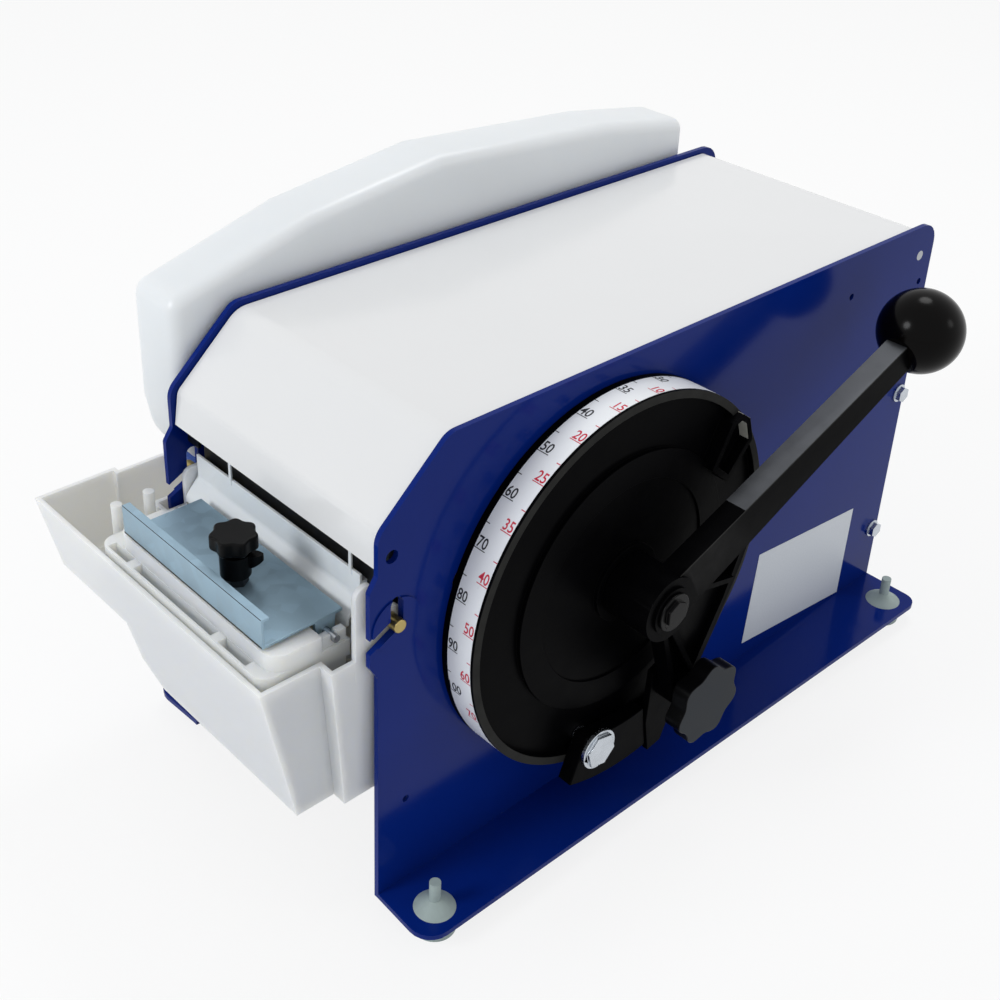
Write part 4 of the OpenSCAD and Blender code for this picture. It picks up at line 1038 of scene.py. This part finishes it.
# Every lamp's name, place, aim, width in metres, power in watts and tint
LAMPS = (
    ("overhead", (-0.3, 0.8, 1.9), (0.0, 0.0, 0.1), 0.7, 9.0, WHITE[:3]),
    ("front", (-0.5, -2.2, 1.5), (0.0, 0.0, 0.1), 0.8, 22.0, (0.96, 0.98, 1.0)),
    ("side", (1.3, 0.9, 0.9), (0.0, 0.15, 0.2), 0.4, 1.2, WHITE[:3]),
)


class OBJECT_OT_dispenser_stage(bpy.types.Operator):
    """Set the floor, the lights, the background and the camera"""
    bl_idname = "object.dispenser_stage"
    bl_label = "Stage"

    def execute(self, context):
        floor = primitive(bpy.ops.mesh.primitive_plane_add, size=14.0, location=(0.0, 0.0, 0.0))
        floor.name = "floor"
        floor.data.materials.append(self.floor_paper())
        self.world()
        for lamp in LAMPS:
            self.lamp(*lamp)
        self.camera(context.scene)
        context.scene.view_settings.view_transform = "Standard"
        return {"FINISHED"}

    def camera(self, scene):
        eye = bpy.data.cameras.new("camera")
        camera = bpy.data.objects.new("camera", eye)
        scene.collection.objects.link(camera)
        camera.location = CAMERA_PLACE
        camera.rotation_euler = [radians(angle) for angle in CAMERA_TURN]
        eye.sensor_width = SENSOR_MM
        eye.lens = FOCAL_PIXELS / PICTURE_PIXELS * SENSOR_MM
        eye.shift_x, eye.shift_y = CAMERA_SHIFT
        eye.clip_start = 0.01
        scene.camera = camera

    def seen(self, tree):
        """1 for rays that see the background themselves, by eye, mirror or glass."""
        path = add(tree, "LightPath")
        first = add(tree, "Math", {0: path.outputs["Is Camera Ray"],
                                   1: path.outputs["Is Glossy Ray"]}, operation="MAXIMUM")
        return add(tree, "Math", {0: first.outputs[0], 1: path.outputs["Is Transmission Ray"]},
                   operation="MAXIMUM").outputs[0]

    def floor_paper(self):
        # Matt white studio paper, paler to the eye than to the object, so that it keeps a shadow
        made, tree, surface = new_material("studio_paper", linear("#F7F8F9"), roughness=0.9)[:3]
        white = add(tree, "Emission", Strength=1.0)
        share = add(tree, "Math", {0: self.seen(tree)}, operation="MULTIPLY")
        share.inputs[1].default_value = FLOOR_GLOW
        mix = add(tree, "MixShader", {0: share.outputs[0], 1: surface.outputs[0],
                                      2: white.outputs[0]})
        output = [n for n in tree.nodes if n.type == "OUTPUT_MATERIAL"][0]
        tree.links.new(mix.outputs[0], output.inputs["Surface"])
        return made

    def world(self):
        sky = bpy.context.scene.world or bpy.data.worlds.new("studio")
        bpy.context.scene.world = sky
        sky.use_nodes = True
        tree = sky.node_tree
        tree.nodes.clear()
        light = add(tree, "Background", Color=WHITE, Strength=SKY_STRENGTH)
        plain = add(tree, "Background", Color=WHITE, Strength=1.0)
        mix = add(tree, "MixShader", {0: self.seen(tree), 1: light.outputs[0],
                                      2: plain.outputs[0]})
        add(tree, "OutputWorld", {"Surface": mix.outputs[0]})

    def lamp(self, name, place, aim, size, power, tint):
        data = bpy.data.lights.new(name, "AREA")
        data.shape = "DISK"
        data.size = size
        data.energy = power
        data.color = tint
        made = bpy.data.objects.new(name, data)
        bpy.context.scene.collection.objects.link(made)
        made.location = place
        made.rotation_euler = (Vector(aim) - Vector(place)).to_track_quat("-Z", "Y").to_euler()


OPERATORS = (
    OBJECT_OT_dispenser_finishes,
    OBJECT_OT_dispenser_plates,
    OBJECT_OT_dispenser_lid,
    OBJECT_OT_dispenser_castings,
    OBJECT_OT_dispenser_ball,
    OBJECT_OT_dispenser_grips,
    OBJECT_OT_dispenser_scale,
    OBJECT_OT_dispenser_tank,
    OBJECT_OT_dispenser_sheet,
    OBJECT_OT_dispenser_springs,
    OBJECT_OT_dispenser_bottle,
    OBJECT_OT_dispenser_brushes,
    OBJECT_OT_dispenser_feet,
    OBJECT_OT_dispenser_label,
    OBJECT_OT_dispenser_stage,
)


class VIEW3D_PT_dispenser(bpy.types.Panel):
    """Sizes, colours and steps of the dispenser"""
    bl_idname = "VIEW3D_PT_dispenser"
    bl_label = "Tape dispenser"
    bl_space_type = "VIEW_3D"
    bl_region_type = "UI"
    bl_category = "Dispenser"

    def draw(self, context):
        for group in (context.scene.dispenser_sizes, context.scene.dispenser_colours):
            for key in group.__annotations__:
                self.layout.prop(group, key)
        for operator in OPERATORS:
            self.layout.operator(operator.bl_idname)


CLASSES = (DispenserColours, DispenserSizes) + OPERATORS + (VIEW3D_PT_dispenser,)


def register():
    for made in CLASSES:
        bpy.utils.register_class(made)
    bpy.types.Scene.dispenser_colours = bpy.props.PointerProperty(type=DispenserColours)
    bpy.types.Scene.dispenser_sizes = bpy.props.PointerProperty(type=DispenserSizes)


def unregister():
    del bpy.types.Scene.dispenser_sizes
    del bpy.types.Scene.dispenser_colours
    for made in reversed(CLASSES):
        bpy.utils.unregister_class(made)


def main():
    register()
    for operator in OPERATORS:
        getattr(bpy.ops.object, operator.bl_idname.split(".")[1])()


if __name__ == "__main__":
    main()
